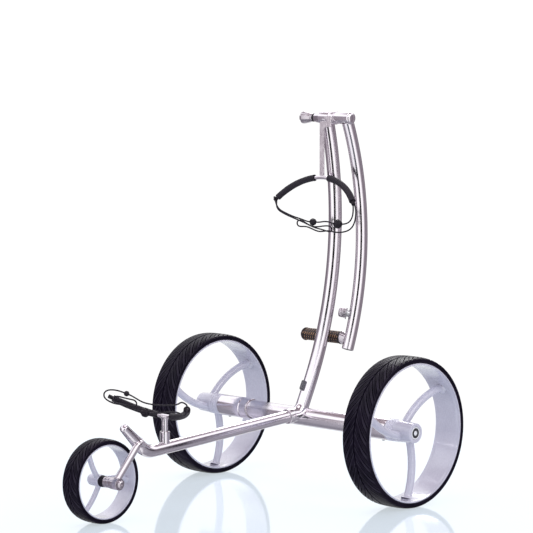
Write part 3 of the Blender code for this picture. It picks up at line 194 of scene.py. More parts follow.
FLOOR_GLOW = 0.6
FLOOR_GLOW_IN_STEEL = 0.3
FLOOR_CLEAR_IN_STEEL = 0.7
FLOOR_TINT = (0.87, 0.945, 1.0)


# Nodes

def put(tree, socket, value):
    """Links an output to an input, or sets the input's own value. A colour may be given as three numbers."""
    if isinstance(value, bpy.types.NodeSocket):
        tree.links.new(value, socket)
    elif socket.type == "RGBA":
        socket.default_value = (*value, 1.0)
    else:
        socket.default_value = value


def add(tree, kind, inputs=None, operation=None):
    """A new shader node with its inputs filled."""
    node = tree.nodes.new("ShaderNode" + kind)
    if operation:
        node.operation = operation
    for socket, value in (inputs or {}).items():
        put(tree, node.inputs[socket], value)
    return node


def ramp(tree, value, stops, interpolation="LINEAR"):
    """Colours along a value. Stops are (place, grey) pairs, or (place, (r, g, b))."""
    node = add(tree, "ValToRGB", {"Fac": value})
    band = node.color_ramp
    band.interpolation = interpolation
    while len(band.elements) > 1:
        band.elements.remove(band.elements[-1])
    for i, (place, colour) in enumerate(stops):
        stop = band.elements.new(place) if i else band.elements[0]
        stop.position = place
        shade = (colour,) * 3 if isinstance(colour, float) else colour
        stop.color = (*shade, 1.0)
    return node.outputs["Color"]


def mixed(tree, factor, colour_a, colour_b):
    mix = tree.nodes.new("ShaderNodeMix")
    mix.data_type = "RGBA"
    for socket, value in (("Factor", factor), ("A", colour_a), ("B", colour_b)):
        put(tree, mix.inputs[socket], value)
    return mix.outputs["Result"]


def noise(tree, scale, detail=3.0, stretch=None):
    """Noise on the piece's own coordinates, in metres, with an optional stretch along each axis."""
    place = add(tree, "TexCoord").outputs["Object"]
    if stretch:
        place = add(tree, "Mapping", {"Vector": place, "Scale": stretch}).outputs["Vector"]
    return add(tree, "TexNoise", {"Vector": place, "Scale": scale, "Detail": detail}).outputs["Fac"]


def bump(tree, height, strength, distance, under=None):
    inputs = {"Height": height, "Strength": strength, "Distance": distance}
    if under is not None:
        inputs["Normal"] = under
    return add(tree, "Bump", inputs).outputs["Normal"]


def new_shader(name, colour, roughness, metallic=0.0):
    made = bpy.data.materials.new(name)
    made.use_nodes = True
    made.diffuse_color = (*colour, 1.0)
    shader = made.node_tree.nodes["Principled BSDF"]
    for socket, value in (("Base Color", (*colour, 1.0)), ("Roughness", roughness), ("Metallic", metallic)):
        shader.inputs[socket].default_value = value
    return made, made.node_tree, shader.inputs


# Camera, light and floor

def make_camera():
    camera = bpy.data.objects.new("camera", bpy.data.cameras.new("camera"))
    camera.data.lens = CAMERA_LENS
    camera.data.sensor_width = SENSOR
    camera.data.clip_end = 200.0
    camera.location = CAMERA_AT
    camera.rotation_euler = CAMERA_DIR.to_track_quat("-Z", "Y").to_euler()
    bpy.context.scene.collection.objects.link(camera)
    bpy.context.scene.camera = camera
    bpy.context.scene.view_settings.view_transform = "Standard"


def make_world():
    """A bright studio with a few dark gaps in it, which is what polished tube shows as streaks."""
    world = bpy.data.worlds.new("studio")
    bpy.context.scene.world = world
    world.use_nodes = True
    tree = world.node_tree
    tree.nodes.clear()
    place = add(tree, "TexCoord").outputs["Generated"]
    turn = add(tree, "Mapping", {"Vector": place, "Rotation": (0, 0, STUDIO_TURN)})
    around = add(tree, "TexGradient", {"Vector": turn.outputs["Vector"]})
    around.gradient_type = "RADIAL"
    bands = ramp(tree, around.outputs["Fac"], STUDIO_BANDS, "EASE")
    height = add(tree, "SeparateXYZ", {"Vector": place}).outputs["Z"]
    room = mixed(tree, ramp(tree, height, STUDIO_HEIGHT), bands, ramp(tree, height, STUDIO_ABOVE))
    lit = add(tree, "Background", {"Color": room, "Strength": STUDIO_STRENGTH}).outputs["Background"]
    seen = add(tree, "Background", {"Color": (1.0, 1.0, 1.0), "Strength": BACKDROP_STRENGTH})
    camera_ray = add(tree, "LightPath").outputs["Is Camera Ray"]
    choose = add(tree, "MixShader", {0: camera_ray, 1: lit, 2: seen.outputs["Background"]})
    add(tree, "OutputWorld", {"Surface": choose.outputs["Shader"]})


def make_light(name, place, size, power):
    lamp = bpy.data.lights.new(name, "AREA")
    lamp.shape = "RECTANGLE"
    lamp.size = lamp.size_y = size
    lamp.energy = power
    obj = bpy.data.objects.new(name, lamp)
    obj.location = place
    obj.rotation_euler = (LIGHTS_AIM - Vector(place)).to_track_quat("-Z", "Y").to_euler()
    bpy.context.scene.collection.objects.link(obj)


def make_floor():
    """A pale disc that fades out at its edge and is dimmer and partly see-through in reflections."""
    shape = bmesh.new()
    bmesh.ops.create_circle(shape, cap_ends=True, segments=96, radius=FLOOR_R)
    floor = finished(shape, "floor", facing=False)
    floor.location = (0, 0, FLOOR_Z)
    bpy.context.scene.collection.objects.link(floor)
    made, tree, sockets = new_shader("floor", FLOOR_COLOUR, FLOOR_ROUGHNESS)
    reflected = add(tree, "LightPath").outputs["Is Glossy Ray"]
    glow = add(tree, "MapRange", {"Value": reflected, "To Min": FLOOR_GLOW, "To Max": FLOOR_GLOW_IN_STEEL})
    put(tree, sockets["Emission Color"], FLOOR_TINT)
    put(tree, sockets["Emission Strength"], glow.outputs["Result"])
    place = add(tree, "TexCoord").outputs["Object"]
    length = add(tree, "VectorMath", {0: place}, "LENGTH").outputs["Value"]
    fade_out = add(tree, "MapRange", {"Value": length, "From Min": FLOOR_FADE_FROM, "From Max": FLOOR_R})
    fade_out.interpolation_type = "SMOOTHSTEP"
    through = add(tree, "Math", {0: reflected, 1: FLOOR_CLEAR_IN_STEEL}, "MULTIPLY").outputs["Value"]
    clearer = add(tree, "Math", {0: through, 1: fade_out.outputs["Result"]}, "MAXIMUM").outputs["Value"]
    clear = add(tree, "BsdfTransparent").outputs["BSDF"]
    solid = tree.nodes["Principled BSDF"].outputs["BSDF"]
    both = add(tree, "MixShader", {0: clearer, 1: solid, 2: clear})
    put(tree, tree.nodes["Material Output"].inputs["Surface"], both.outputs["Shader"])
    floor.data.materials.append(made)


# Materials

def surface(name, colour, roughness, shades, patch, grain, rough, relief, spread=None, edge_wear_and_glint=None, cells=None,
            fine=None, soft=None, rough_at=(0.3, 0.7), metallic=0.0, plain=None):
    """A material whose colour drifts between two shades and whose roughness and relief follow a grain.

    patch, grain and fine are a noise's (scale, detail, stretch). Without a grain, the patches set the
    roughness, which is rough at the values rough_at. relief and soft are a bump's (strength, distance), and
    soft follows the patches. fine, or cells of that scale, take the grain's place in the relief. spread is
    where the patches begin and are full. The convex-edge argument, (low, high, colour), colours convex
    edges lighter: on leather that is wear, and on the tyre's tread a painted glint.
    """
    made, tree, sockets = new_shader(name, colour, roughness, metallic)
    for socket, value in (plain or {}).items():
        sockets[socket].default_value = value
    patches = noise(tree, *patch)
    grains = noise(tree, *grain) if grain else patches
    share = ramp(tree, patches, [(spread[0], 0.0), (spread[1], 1.0)]) if spread else patches
    base = mixed(tree, share, *shades)
    # Lighter convex edges: wear on the leather, and a painted glint on the tyre's tread edges
    if edge_wear_and_glint:
        low, high, edge = edge_wear_and_glint
        pointed = add(tree, "NewGeometry").outputs["Pointiness"]
        base = mixed(tree, ramp(tree, pointed, [(low, 0.0), (high, 1.0)]), base, edge)
    height = noise(tree, *fine) if fine else grains
    if cells:
        place = add(tree, "TexCoord").outputs["Object"]
        height = add(tree, "TexVoronoi", {"Vector": place, "Scale": cells}).outputs["Distance"]
    under = bump(tree, patches, *soft) if soft else None
    put(tree, sockets["Base Color"], base)
    put(tree, sockets["Roughness"], ramp(tree, grains, list(zip(rough_at, rough))))
    put(tree, sockets["Normal"], bump(tree, height, *relief, under))
    return made


def polished_steel(name, roughness, tint):
    """Polished stainless tube: faint cloudy haze, fine rub marks and a duller patch here and there."""
    dull = (tint[0] * 0.94, tint[1] * 0.94, tint[2] * 0.95)
    return surface(name, tint, roughness, (tint, dull), (18.0, 4.0), (260.0, 2.0, (1.0, 1.0, 0.25)),
                   (roughness * 0.8, roughness * 1.35), (0.012, 0.0003), spread=(0.35, 0.7),
                   fine=(900.0, 2.0, (1.0, 1.0, 0.3)), rough_at=(0.35, 0.7), metallic=1.0)


def moulded_plastic(name, shade):
    shades = (shade * 0.8, shade * 0.8, shade * 0.92), (shade * 1.3, shade * 1.25, shade * 1.42)
    return surface(name, (shade, shade, shade * 1.14), 0.4, shades, (50.0,), (1300.0, 2.0), (0.34, 0.52),
                   (0.12, 0.0002))


def strap_leather(name, dark, light):
    edge = tuple(min(1.0, c * 1.5) for c in light)
    return surface(name, dark, 0.5, (dark, light), (140.0, 4.0), None, (0.36, 0.58), (0.3, 0.0002),
                   spread=(0.35, 0.7), edge_wear_and_glint=(0.52, 0.6, edge), cells=1600.0)


def woven_cord(name, colour):
    """The braided sheath of an elastic cord: two sets of strands that cross, laid along the curve's UVs."""
    made, tree, sockets = new_shader(name, colour, 0.72)
    sockets["Specular IOR Level"].default_value = 0.3
    sockets["Sheen Weight"].default_value = 0.08
    place = add(tree, "TexCoord").outputs["UV"]
    heights = []
    for slant in (45, -45):
        turned_by = {"Vector": place, "Rotation": (0, 0, math.radians(slant)), "Scale": CORD_WEAVE}
        along = add(tree, "Mapping", turned_by).outputs["Vector"]
        heights.append(add(tree, "TexWave", {"Vector": along, "Scale": 1.0}).outputs["Fac"])
    braid = add(tree, "Math", {0: heights[0], 1: heights[1]}, "MAXIMUM").outputs["Value"]
    light = tuple(c * 2.0 for c in colour)
    fuzz = noise(tree, 1800.0, 2.0)
    # Painted shade: the colour follows the braid's relief, twice as light on the raised strands and darker in
    # the dips between them
    put(tree, sockets["Base Color"], mixed(tree, braid, colour, light))
    put(tree, sockets["Roughness"], ramp(tree, fuzz, [(0.3, 0.62), (0.7, 0.85)]))
    put(tree, sockets["Normal"], bump(tree, braid, 0.5, 0.0003))
    return made


# Each look's material slot in the record, and its material
LOOKS = {
    "steel": ("polished_steel", polished_steel("polished_steel", 0.15, (0.8, 0.755, 0.8))),
    "weld": ("polished_steel", polished_steel("weld_steel", 0.24, (0.8, 0.79, 0.82))),
    "cast_steel": ("polished_steel", polished_steel("cast_steel", 0.18, (0.52, 0.48, 0.52))),
    # A rougher satin copy of the polished steel, whose tint is painted lighter than the tube's to stand in
    # for the strap's bright reflections
    "satin_steel_painted_lighter": ("polished_steel", polished_steel("satin_steel_painted_lighter", 0.34, (0.9, 0.84, 0.88))),
    "dark_steel": ("dark_steel", surface(
        "dark_steel", (0.5, 0.5, 0.52), 0.34, ((0.44, 0.44, 0.46), (0.58, 0.58, 0.6)), (40.0,),
        (700.0, 2.0, (0.15, 1.0, 1.0)), (0.26, 0.44), (0.06, 0.0003), metallic=1.0)),
    # White stoved paint with a fine orange peel, and a trace of grey where hands and grass rub it
    "enamel": ("white_paint", surface(
        "white_enamel", (0.62, 0.61, 0.72), 0.26, ((0.64, 0.63, 0.74), (0.56, 0.55, 0.66)), (12.0, 4.0),
        (420.0, 2.0), (0.22, 0.32), (0.05, 0.0003), spread=(0.4, 0.75),
        plain={"Coat Weight": 1.0, "Coat Roughness": 0.06})),
    # Black rubber with a dull bloom and mould grain, and a painted glint: the convex tread edges are coloured
    # lighter
    "tyre": ("tyre_rubber", surface(
        "tyre_rubber", (0.01, 0.008, 0.014), 0.5, ((0.002, 0.0009, 0.0065), (0.008, 0.0048, 0.015)),
        (30.0, 5.0), (1500.0, 3.0), (0.26, 0.44), (0.15, 0.0004), spread=(0.35, 0.75),
        edge_wear_and_glint=(0.525, 0.62, (0.14, 0.12, 0.175)), plain={"Specular IOR Level": 0.09})),
    "rubber": ("moulded_rubber", surface(
        "moulded_rubber", (0.01, 0.008, 0.013), 0.45, ((0.005, 0.003, 0.007), (0.012, 0.008, 0.016)), (60.0,),
        (2200.0, 3.0), (0.38, 0.6), (0.15, 0.0003), plain={"Specular IOR Level": 0.3})),
    # Closed-cell foam hose: fine cells under a skin that shines a little
    "foam": ("foam", surface(
        "closed_foam", (0.012, 0.01, 0.015), 0.62, ((0.006, 0.004, 0.01), (0.017, 0.012, 0.024)), (90.0, 4.0),
        None, (0.5, 0.72), (0.25, 0.0003), cells=1500.0, soft=(0.3, 0.0012),
        plain={"Specular IOR Level": 0.3, "Sheen Weight": 0.08})),
    "black_plastic": ("black_plastic", moulded_plastic("black_plastic", 0.035)),
    "grey_plastic": ("black_plastic", moulded_plastic("grey_plastic", 0.13)),
    "white_plastic": ("white_plastic", surface(
        "white_plastic", (0.82, 0.83, 0.86), 0.3, ((0.84, 0.85, 0.88), (0.78, 0.79, 0.82)), (80.0,),
        (900.0, 2.0), (0.26, 0.38), (0.05, 0.0002))),
    "cord": ("elastic_cord", woven_cord("woven_cord", (0.007, 0.005, 0.01))),
    "leather_dark": ("leather", strap_leather("leather_dark", (0.008, 0.004, 0.006), (0.02, 0.01, 0.011))),
    "leather_tan": ("leather", strap_leather("leather_tan", (0.34, 0.17, 0.085), (0.56, 0.31, 0.16))),
}


# Shapes

def place_piece(obj, look, body, *nodes, smooth_deg=35.0):
    """Links a piece with its look, and says what body it rides on and what nodes it replaces."""
    bpy.context.scene.collection.objects.link(obj)
    if obj.type == "MESH":
        obj.data.shade_smooth()
        obj.data.set_sharp_from_angle(angle=math.radians(smooth_deg))
    slot, made = LOOKS[look]
    obj.data.materials.append(made)
    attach(obj, body)
    if nodes:
        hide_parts(*nodes)
    return obj


def paint(obj, look, chosen):
    """Gives a second look to the faces whose centres are chosen."""
    obj.data.materials.append(LOOKS[look][1])
    for face in obj.data.polygons:
        if chosen(face.center):
            face.material_index = 1


def finished(shape, name, place=Matrix(), facing=True):
    """Ends a shape as an object that isn't linked yet, turned outwards and put in its place."""
    if facing:
        bmesh.ops.recalc_face_normals(shape, faces=shape.faces)
    shape.transform(place)
    mesh = bpy.data.meshes.new(name)
    shape.to_mesh(mesh)
    shape.free()
    return bpy.data.objects.new(name, mesh)


def skin(shape, a, b, turn=0):
    """A band of faces between two rings, of which the second may be turned by some places."""
    total = len(a)
    for i in range(total):
        j = (i + 1) % total
        corners = list(dict.fromkeys((a[i], a[j], b[(j - turn) % total], b[(i - turn) % total])))
        if len(corners) > 2:
            shape.faces.new(corners)


def rounded(profile, radius, count=4):
    """A profile whose corners are rounded, so that edges catch the light. Points on the axis stay sharp."""
    points = [Vector(p) for p in profile]
    made = []
    for i, corner in enumerate(points):
        if corner.x < ON_AXIS:
            made.append(tuple(corner))
            continue
        before, after = points[i - 1] - corner, points[(i + 1) % len(points)] - corner
        reach = min(radius, before.length * 0.45, after.length * 0.45)
        first = corner + before.normalized() * reach
        second = corner + after.normalized() * reach
        for k in range(count):
            t = k / (count - 1)
            made.append(tuple(first * (1 - t) ** 2 + corner * 2 * t * (1 - t) + second * t ** 2))
    return made


def spun(name, profile, corner, centre, along, steps=96, ripple=None, count=4):
    """Turns (radius, height) pairs about a line, with rounded corners if a corner radius is given.
    A ripple(angle, radius, height) may change the radius."""
    shape = bmesh.new()
    rings = []
    for radius, height in rounded(profile, corner, count) if corner else profile:
        if radius < ON_AXIS:
            rings.append([shape.verts.new((0, 0, height))] * steps)
            continue
        loop = []
        for i in range(steps):
            angle = 2 * math.pi * i / steps
            r = ripple(angle, radius, height) if ripple else radius
            loop.append(shape.verts.new((r * math.cos(angle), r * math.sin(angle), height)))
        rings.append(loop)
    for a, b in zip(rings, rings[1:] + rings[:1]):
        skin(shape, a, b)
    turn = Vector(along).normalized().to_track_quat("Z", "Y").to_matrix().to_4x4()
    return finished(shape, name, Matrix.Translation(centre) @ turn)


def turned(name, profile, corner, centre, along, look, body, *nodes, steps=96, smooth_deg=35.0, **more):
    """A spun piece, put in place."""
    made = spun(name, profile, corner, centre, along, steps, **more)
    return place_piece(made, look, body, *nodes, smooth_deg=smooth_deg)


def arc_between(start, end, bow, count):
    start, end, bow = Vector(start), Vector(end), Vector(bow)
    chord = end - start
    sagitta = bow.length
    radius = chord.length ** 2 / (8 * sagitta) + sagitta / 2
    centre = (start + end) / 2 + bow.normalized() * (sagitta - radius)
    half = math.asin(min(1.0, chord.length / (2 * radius)))
    along, out = chord.normalized(), bow.normalized()
    angles = [half * (2 * i / (count - 1) - 1) for i in range(count)]
    return [centre + radius * (math.sin(a) * along + math.cos(a) * out) for a in angles]


def filleted(points, fillet, count=16):
    points = [Vector(p) for p in points]
    path = [points[0]]
    for before, corner, after in zip(points, points[1:], points[2:]):
        back, on = (before - corner).normalized(), (after - corner).normalized()
        turn = math.pi - back.angle(on)
        tangent = fillet * math.tan(turn / 2)
        first, last = corner + back * tangent, corner + on * tangent
        bow = (corner - (first + last) / 2).normalized() * fillet * (1 - math.cos(turn / 2))
        path += arc_between(first, last, bow, count)
    return path + [points[-1]]


def smooth_route(points, spacing):
    """Evenly spaced points on a Catmull-Rom curve through the given ones, as in the CAD source."""
    points = [Vector(p) for p in points]
    ends = [2 * points[0] - points[1]] + points + [2 * points[-1] - points[-2]]
    fine = []
    for a, b, c, d in zip(ends, ends[1:], ends[2:], ends[3:]):
        for step in range(10):
            t = step / 10
            linear = (c - a) * t
            square = (2 * a - 5 * b + 4 * c - d) * t ** 2
            cube = (3 * b - a - 3 * c + d) * t ** 3
            fine.append((2 * b + linear + square + cube) / 2)
    fine.append(points[-1])
    return evenly(fine, spacing)


def evenly(path, spacing):
    """The same line with points at even steps along it."""
    lengths = [0.0]
    for a, b in zip(path, path[1:]):
        lengths.append(lengths[-1] + (b - a).length)
    count = max(2, round(lengths[-1] / spacing))
    made, at = [], 0
    for i in range(count + 1):
        wanted = lengths[-1] * i / count
        while at < len(path) - 2 and lengths[at + 1] < wanted:
            at += 1
        share = (wanted - lengths[at]) / max(1e-9, lengths[at + 1] - lengths[at])
        made.append(path[at].lerp(path[at + 1], min(1.0, max(0.0, share))))
    return made


def path_length(path):
    return sum((b - a).length for a, b in zip(path, path[1:]))


def sweep(name, path, radii, sides=48, wall=None, round_start=0.0, round_end=0.0):
    """A round tube along a path, with frames carried along it. A wall makes it hollow with open ends,
    and a rounded end is a dome of that height."""
    path = [Vector(p) for p in path]
    radii = radii if isinstance(radii, list) else [radii] * len(path)
    tangents = [(b - a).normalized() for a, b in zip(path[:1] + path, path[1:] + path[-1:])]
    side = tangents[0].orthogonal().normalized()
    frames = []
    for spot, along in zip(path, tangents):
        if frames:
            side = (side - along * side.dot(along)).normalized()
        frames.append((spot, side, along.cross(side), along))
    rows = [(place, radius, 0.0) for place, radius in zip(frames, radii)]
    if round_start:
        rows = dome_rows(frames[0], radii[0], -round_start)[::-1] + rows
    if round_end:
        rows += dome_rows(frames[-1], radii[-1], round_end)
    if wall:
        rows += [(place, radius - wall, lift) for place, radius, lift in rows[::-1]]
    shape = bmesh.new()
    loops = []
    for (centre, across, up, along), radius, lift in rows:
        loop = []
        for k in range(sides):
            angle = 2 * math.pi * k / sides
            out = across * (radius * math.cos(angle)) + up * (radius * math.sin(angle))
            loop.append(shape.verts.new(centre + along * lift + out))
        loops.append(loop)
    for a, b in zip(loops, loops[1:]):
        skin(shape, a, b)
    if wall:
        skin(shape, loops[-1], loops[0])
    else:
        shape.faces.new(loops[0][::-1])
        shape.faces.new(loops[-1])
    return finished(shape, name)


def dome_rows(frame_at, radius, height, count=7):
    """Rows that close a sweep with a dome of a signed height, flat at its very tip."""
    rows = []
    for i in range(1, count + 1):
        angle = math.pi / 2 * i / (count + 0.35)
        rows.append((frame_at, radius * math.cos(angle), height * math.sin(angle)))
    return rows


def joined(name, parts):
    """One object from several that aren't linked."""
    shape = bmesh.new()
    for part in parts:
        shape.from_mesh(part.data)
        bpy.data.objects.remove(part, do_unlink=True)
    return finished(shape, name, facing=False)


def weld_bead(name, path, radius, seed):
    """A closed ring of overlapping weld ripples along a path."""
    ripples = max(12, round(path_length(path) / 0.0016))
    fine = evenly(path, path_length(path) / (ripples * 4))
    radii = [radius * (0.86 + 0.14 * abs(math.sin(math.pi * (i + seed) / 4))) for i in range(len(fine))]
    return sweep(name, fine, radii, 10)


# Wheels

# (share of a pitch, share of the coarse groove, share of the fine groove)
TREAD_COLUMNS = [
    (0.000, 0.0, 0.0), (0.022, 1.0, 0.0), (0.118, 1.0, 0.0), (0.145, 0.0, 0.0), (0.3, 0.0, 0.0),
    (0.48, 0.0, 0.0), (0.505, 0.0, 1.0), (0.565, 0.0, 1.0), (0.59, 0.0, 0.0), (0.74, 0.0, 0.0),
    (0.89, 0.0, 0.0),
]


def tread_sweep(share, lean):
    """How far round, in radians, a groove has run at a share of the half width."""
    return lean * (0.25 * share + 0.75 * share ** 0.75)


def fade(value, start, full, end, gone):
    """0 before start, 1 from full to end, and 0 after gone."""
    if value <= start or value >= gone:
        return 0.0
    if value < full:
        return (value - start) / (full - start)
    return 1.0 if value <= end else (gone - value) / (gone - end)


# (share of the half width, drop as a share of the depth) of the tread, then of the side wall
CROWN = [(0.0, 0.0), (0.035, 0.0), (0.06, 0.0), (0.2, 0.0), (0.36, 0.0), (0.5, 0.012), (0.62, 0.03),
         (0.72, 0.055), (0.8, 0.085), (0.87, 0.125), (0.925, 0.18), (0.965, 0.25), (0.99, 0.34), (1.0, 0.44)]
SIDE_WALL = [(0.995, 0.58), (0.985, 0.74), (0.97, 0.88), (0.945, 1.0)]


def tyre(name, centre, radius, half, depth, pitches, groove, lean):
    """A tyre with a swept V tread. Its columns follow the grooves, and its halves are half a pitch apart."""
    shape = bmesh.new()
    columns = [((p + u) / pitches * 2 * math.pi, main, fine)
               for p in range(pitches) for u, main, fine in TREAD_COLUMNS]
    halves = []
    for sign in (1, -1):
        shift = 0.0 if sign > 0 else math.pi / pitches
        rows = []
        for share, drop in CROWN + SIDE_WALL:
            row = []
            coarse_here = groove * fade(share, 0.03, 0.1, 0.88, 0.97)
            fine_here = groove * 0.8 * fade(share, 0.34, 0.46, 0.86, 0.95)
            rib = groove * 0.8 if share < 0.05 else 0.0
            for angle, main, fine in columns:
                swept = angle + shift + tread_sweep(share, lean)
                cut = 0.0 if drop > 0.44 else main * coarse_here + fine * fine_here
                r = radius - depth * drop - max(cut, rib)
                row.append(shape.verts.new((sign * half * share, r * math.cos(swept), r * math.sin(swept))))
            rows.append(row)
        for a, b in zip(rows, rows[1:]):
            skin(shape, a, b)
        halves.append(rows)
    turn = round(len(columns) / (2 * pitches))
    skin(shape, halves[0][-1], halves[1][-1], turn)
    skin(shape, halves[1][0], halves[0][0], -turn)
    return finished(shape, name, Matrix.Translation(centre))


def wheel_spokes(name, centre, start_r, end_r, start_deg, sweep_deg, bow, radius, flare):
    """Three curved spokes that widen into the rim."""
    parts = []
    for i in range(3):
        turn = math.radians(start_deg + 120 * i)
        end_turn = turn + math.radians(sweep_deg)
        start = centre + start_r * Vector((0, math.cos(turn), math.sin(turn)))
        end = centre + end_r * Vector((0, math.cos(end_turn), math.sin(end_turn)))
        side = X_AXIS.cross(end - start).normalized() * bow
        path = arc_between(start, end, side, 40)
        total = path_length(path)
        steps = len(path) - 1
        to_rim = [total - total * k / steps for k in range(steps + 1)]
        radii = [radius + flare * max(0.0, 1 - left / (flare * 1.6)) ** 2 for left in to_rim]
        parts.append(sweep(f"{name}_{i}", path, radii, 32))
    return parts


def rear_wheel(side, sign):
    centre = middle(side + "_tyre")
    out = X_AXIS * sign
    body = side + "_wheel"
    half = 0.032
    made = tyre(side + "_tyre_treaded", centre, REAR_WHEEL_R, half, depth=0.012, pitches=34, groove=0.0024,
                lean=0.36)
    place_piece(made, "tyre", body, side + "_tyre", smooth_deg=28)

    rim_r = REAR_WHEEL_R - 0.0117
    wall_r = rim_r - 0.0032
    edge = half - 0.0004
    rim = spun(side + "_rim_ring", [
        (rim_r, half - 0.0018), (rim_r, -half + 0.0018), (rim_r - 0.0012, -edge), (wall_r, -edge),
        (wall_r, -half * 0.8), (wall_r - 0.0006, -half * 0.72), (wall_r - 0.0006, half * 0.72),
        (wall_r, half * 0.8), (wall_r, edge), (rim_r - 0.0012, edge),
    ], 0.0007, centre, out, 192)
    spokes = wheel_spokes(side + "_spoke", centre, start_r=0.0148, end_r=wall_r + 0.0008, start_deg=85,
                          sweep_deg=-51, bow=0.0123, radius=0.0078, flare=0.0052)
    hub = spun(side + "_hub", HUB_PROFILE, 0.0006, centre, out)
    place_piece(joined(side + "_wheel_rim", [rim, hub] + spokes), "enamel", body, side + "_rim")

    face = 0.0297
    step = face - 0.0005
    cap = turned(side + "_button_cap", [
        (0.0, face), (0.0042, face), (0.0048, step), (0.0052, step), (0.0098, step), (0.0102, face),
        (0.0122, face), (0.0125, face - 0.0006), (0.0125, 0.0215), (0.0, 0.0215),
    ], 0.0003, centre, out, "white_plastic", side + "_button", side + "_release_button", steps=72, count=3)
    inside = abs(centre.x + sign * (face - 0.001))
    paint(cap, "black_plastic", lambda at: abs(at.x) > inside and 0.0047 < off_line(at, centre) < 0.0101)


def off_line(spot, centre):
    """How far a spot is from the line across the trolley through a centre."""
    return math.hypot(spot.y - centre.y, spot.z - centre.z)


# (radius, height) pairs, with three grooves in the inner end
HUB_PROFILE = [(0.0128, 0.03), (0.0187, 0.03), (0.0195, 0.0292), (0.0205, 0.012), (0.0218, -0.006)]
for ridge in (-0.014, -0.02, -0.026):
    HUB_PROFILE += [(0.022, ridge), (0.0208, ridge - 0.0006)]
    HUB_PROFILE += [(0.0208, ridge - 0.003), (0.022, ridge - 0.0036)]
HUB_PROFILE += [(0.022, -0.0345), (0.0214, -0.035), (0.0053, -0.035), (0.0053, 0.018), (0.0128, 0.018)]


def front_wheel():
    centre = FRONT_AXLE + X_AXIS * FRONT_WHEEL_X
    body = "front_wheel"
    half = 0.0205
    made = tyre("front_tyre_treaded", centre, FRONT_WHEEL_R, half, depth=0.0095, pitches=20, groove=0.0019,
                lean=0.44)
    place_piece(made, "tyre", body, "front_tyre", smooth_deg=28)
    rim_r = FRONT_WHEEL_R - 0.0092
    wall_r = rim_r - 0.0026
    edge = half - 0.0004
    rim = spun("front_rim_ring", [
        (rim_r, half - 0.0016), (rim_r, -half + 0.0016), (rim_r - 0.001, -edge), (wall_r, -edge),
        (wall_r - 0.0004, -half * 0.75), (wall_r - 0.0004, half * 0.75), (wall_r, edge),
        (rim_r - 0.001, edge),
    ], 0.0005, centre, X_AXIS, 144)
    plane = centre - X_AXIS * 0.003
    spokes = wheel_spokes("front_spoke", plane, start_r=0.0102, end_r=wall_r + 0.0006, start_deg=130,
                          sweep_deg=-15, bow=0.003, radius=0.005, flare=0.0036)
    near, far = -0.039, -0.071
    hub = spun("front_hub", [
        (0.0087, near), (0.0112, near), (0.012, near - 0.001), (0.012, near - 0.012),
        (0.0114, far + 0.004), (0.01, far + 0.0008), (0.0085, far), (0.0, far), (0.0, far + 0.0024),
        (0.0087, far + 0.0024),
    ], 0.0005, FRONT_AXLE, X_AXIS, 64)
    place_piece(joined("front_wheel_rim", [rim, hub] + spokes), "enamel", body, "front_rim")
    turned("front_seal_lip", [
        (0.0112, near + GAP), (0.0112, near + 0.0045), (0.0104, near + 0.0052), (0.0104, near + 0.0062),
        (0.011, near + 0.007), (0.0108, near + 0.0108), (0.0044, near + 0.0108), (0.0044, near + GAP),
    ], 0.0004, FRONT_AXLE, X_AXIS, "rubber", body, "front_seal", steps=64)


# Rear axle

def rear_axle():
    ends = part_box("axle_tube")[1].x
    turned("axle_tube_polished", [(0.019, ends), (0.019, -ends), (0.0175, -ends), (0.0175, ends)], 0.0003,
           AXLE, X_AXIS, "steel", "frame", "axle_tube")
    end = 0.235
    start = 0.15
    for side, sign in (("left", 1), ("right", -1)):
        turned(side + "_housing_polished", [
            (0.022, end), (0.022, 0.1735), (0.0214, 0.171), (0.0208, 0.16), (0.0208, start),
            (0.0193, start), (0.0193, 0.1605), (0.0205, 0.164), (0.0205, end),
        ], 0.0006, AXLE, X_AXIS * sign, "steel", "frame", side + "_motor_housing")
        screw_at = AXLE + X_AXIS * sign * (end - 0.018)
        turned(side + "_screw_socket_head", [
            (0.0, 0.0233), (0.0012, 0.0233), (0.0012, 0.0245), (0.002, 0.0245), (0.0028, 0.0236),
            (0.0028, 0.0223), (0.0015, 0.0223), (0.0015, 0.0208), (0.0, 0.0208),
        ], 0.00025, screw_at, -Z_AXIS, "dark_steel", "frame", side + "_axle_screw", steps=48)


# Stem, collar and battery socket

def stem_path():
    foot = AXLE + Vector((0, STEM_FOOT_BACK, STEM_FOOT_RISE))
    chord = HINGE - foot
    sagitta = STEM_BEND_R - math.sqrt(STEM_BEND_R ** 2 - (chord.length / 2) ** 2)
    back = chord.cross(X_AXIS).normalized()
    back = back if back.y > 0 else -back
    bow = arc_between(foot, HINGE, back * sagitta, 64)
    down = (bow[0] - bow[1]).normalized()
    stub_end = COLLAR - FRONT_DIR * (COLLAR_HALF + 0.0003)
    reach = ((foot - stub_end).cross(-FRONT_DIR)).x / (-(down.cross(-FRONT_DIR)).x)
    corner = foot + down * reach
    return filleted([stub_end, corner, bow[1]], STEM_FOOT_FILLET, 24)[:-1] + bow[1:]


def at_height(path, height):
    for a, b in zip(path, path[1:]):
        if (a.z - height) * (b.z - height) <= 0 and a.z != b.z:
            return a.lerp(b, (height - a.z) / (b.z - a.z)), (b - a).normalized()
    raise ValueError("the path doesn't reach that height")


def saddle(centre, axis, big_r, other_axis, small_r):
    """The line where a small tube meets the outside of a big one, for a weld bead."""
    count = 72
    side = axis.cross(other_axis).normalized()
    up = (other_axis - axis * other_axis.dot(axis)).normalized()
    slope = other_axis.dot(axis) / other_axis.dot(up)
    made = []
    for i in range(count + 1):
        a = 2 * math.pi * i / count
        across = small_r * math.cos(a)
        rise = math.sqrt(max(0.0, big_r ** 2 - across ** 2))
        along = small_r * math.sin(a) * math.sqrt(1 + slope ** 2) + rise * slope
        made.append(centre + side * across + up * rise + axis * along)
    return made


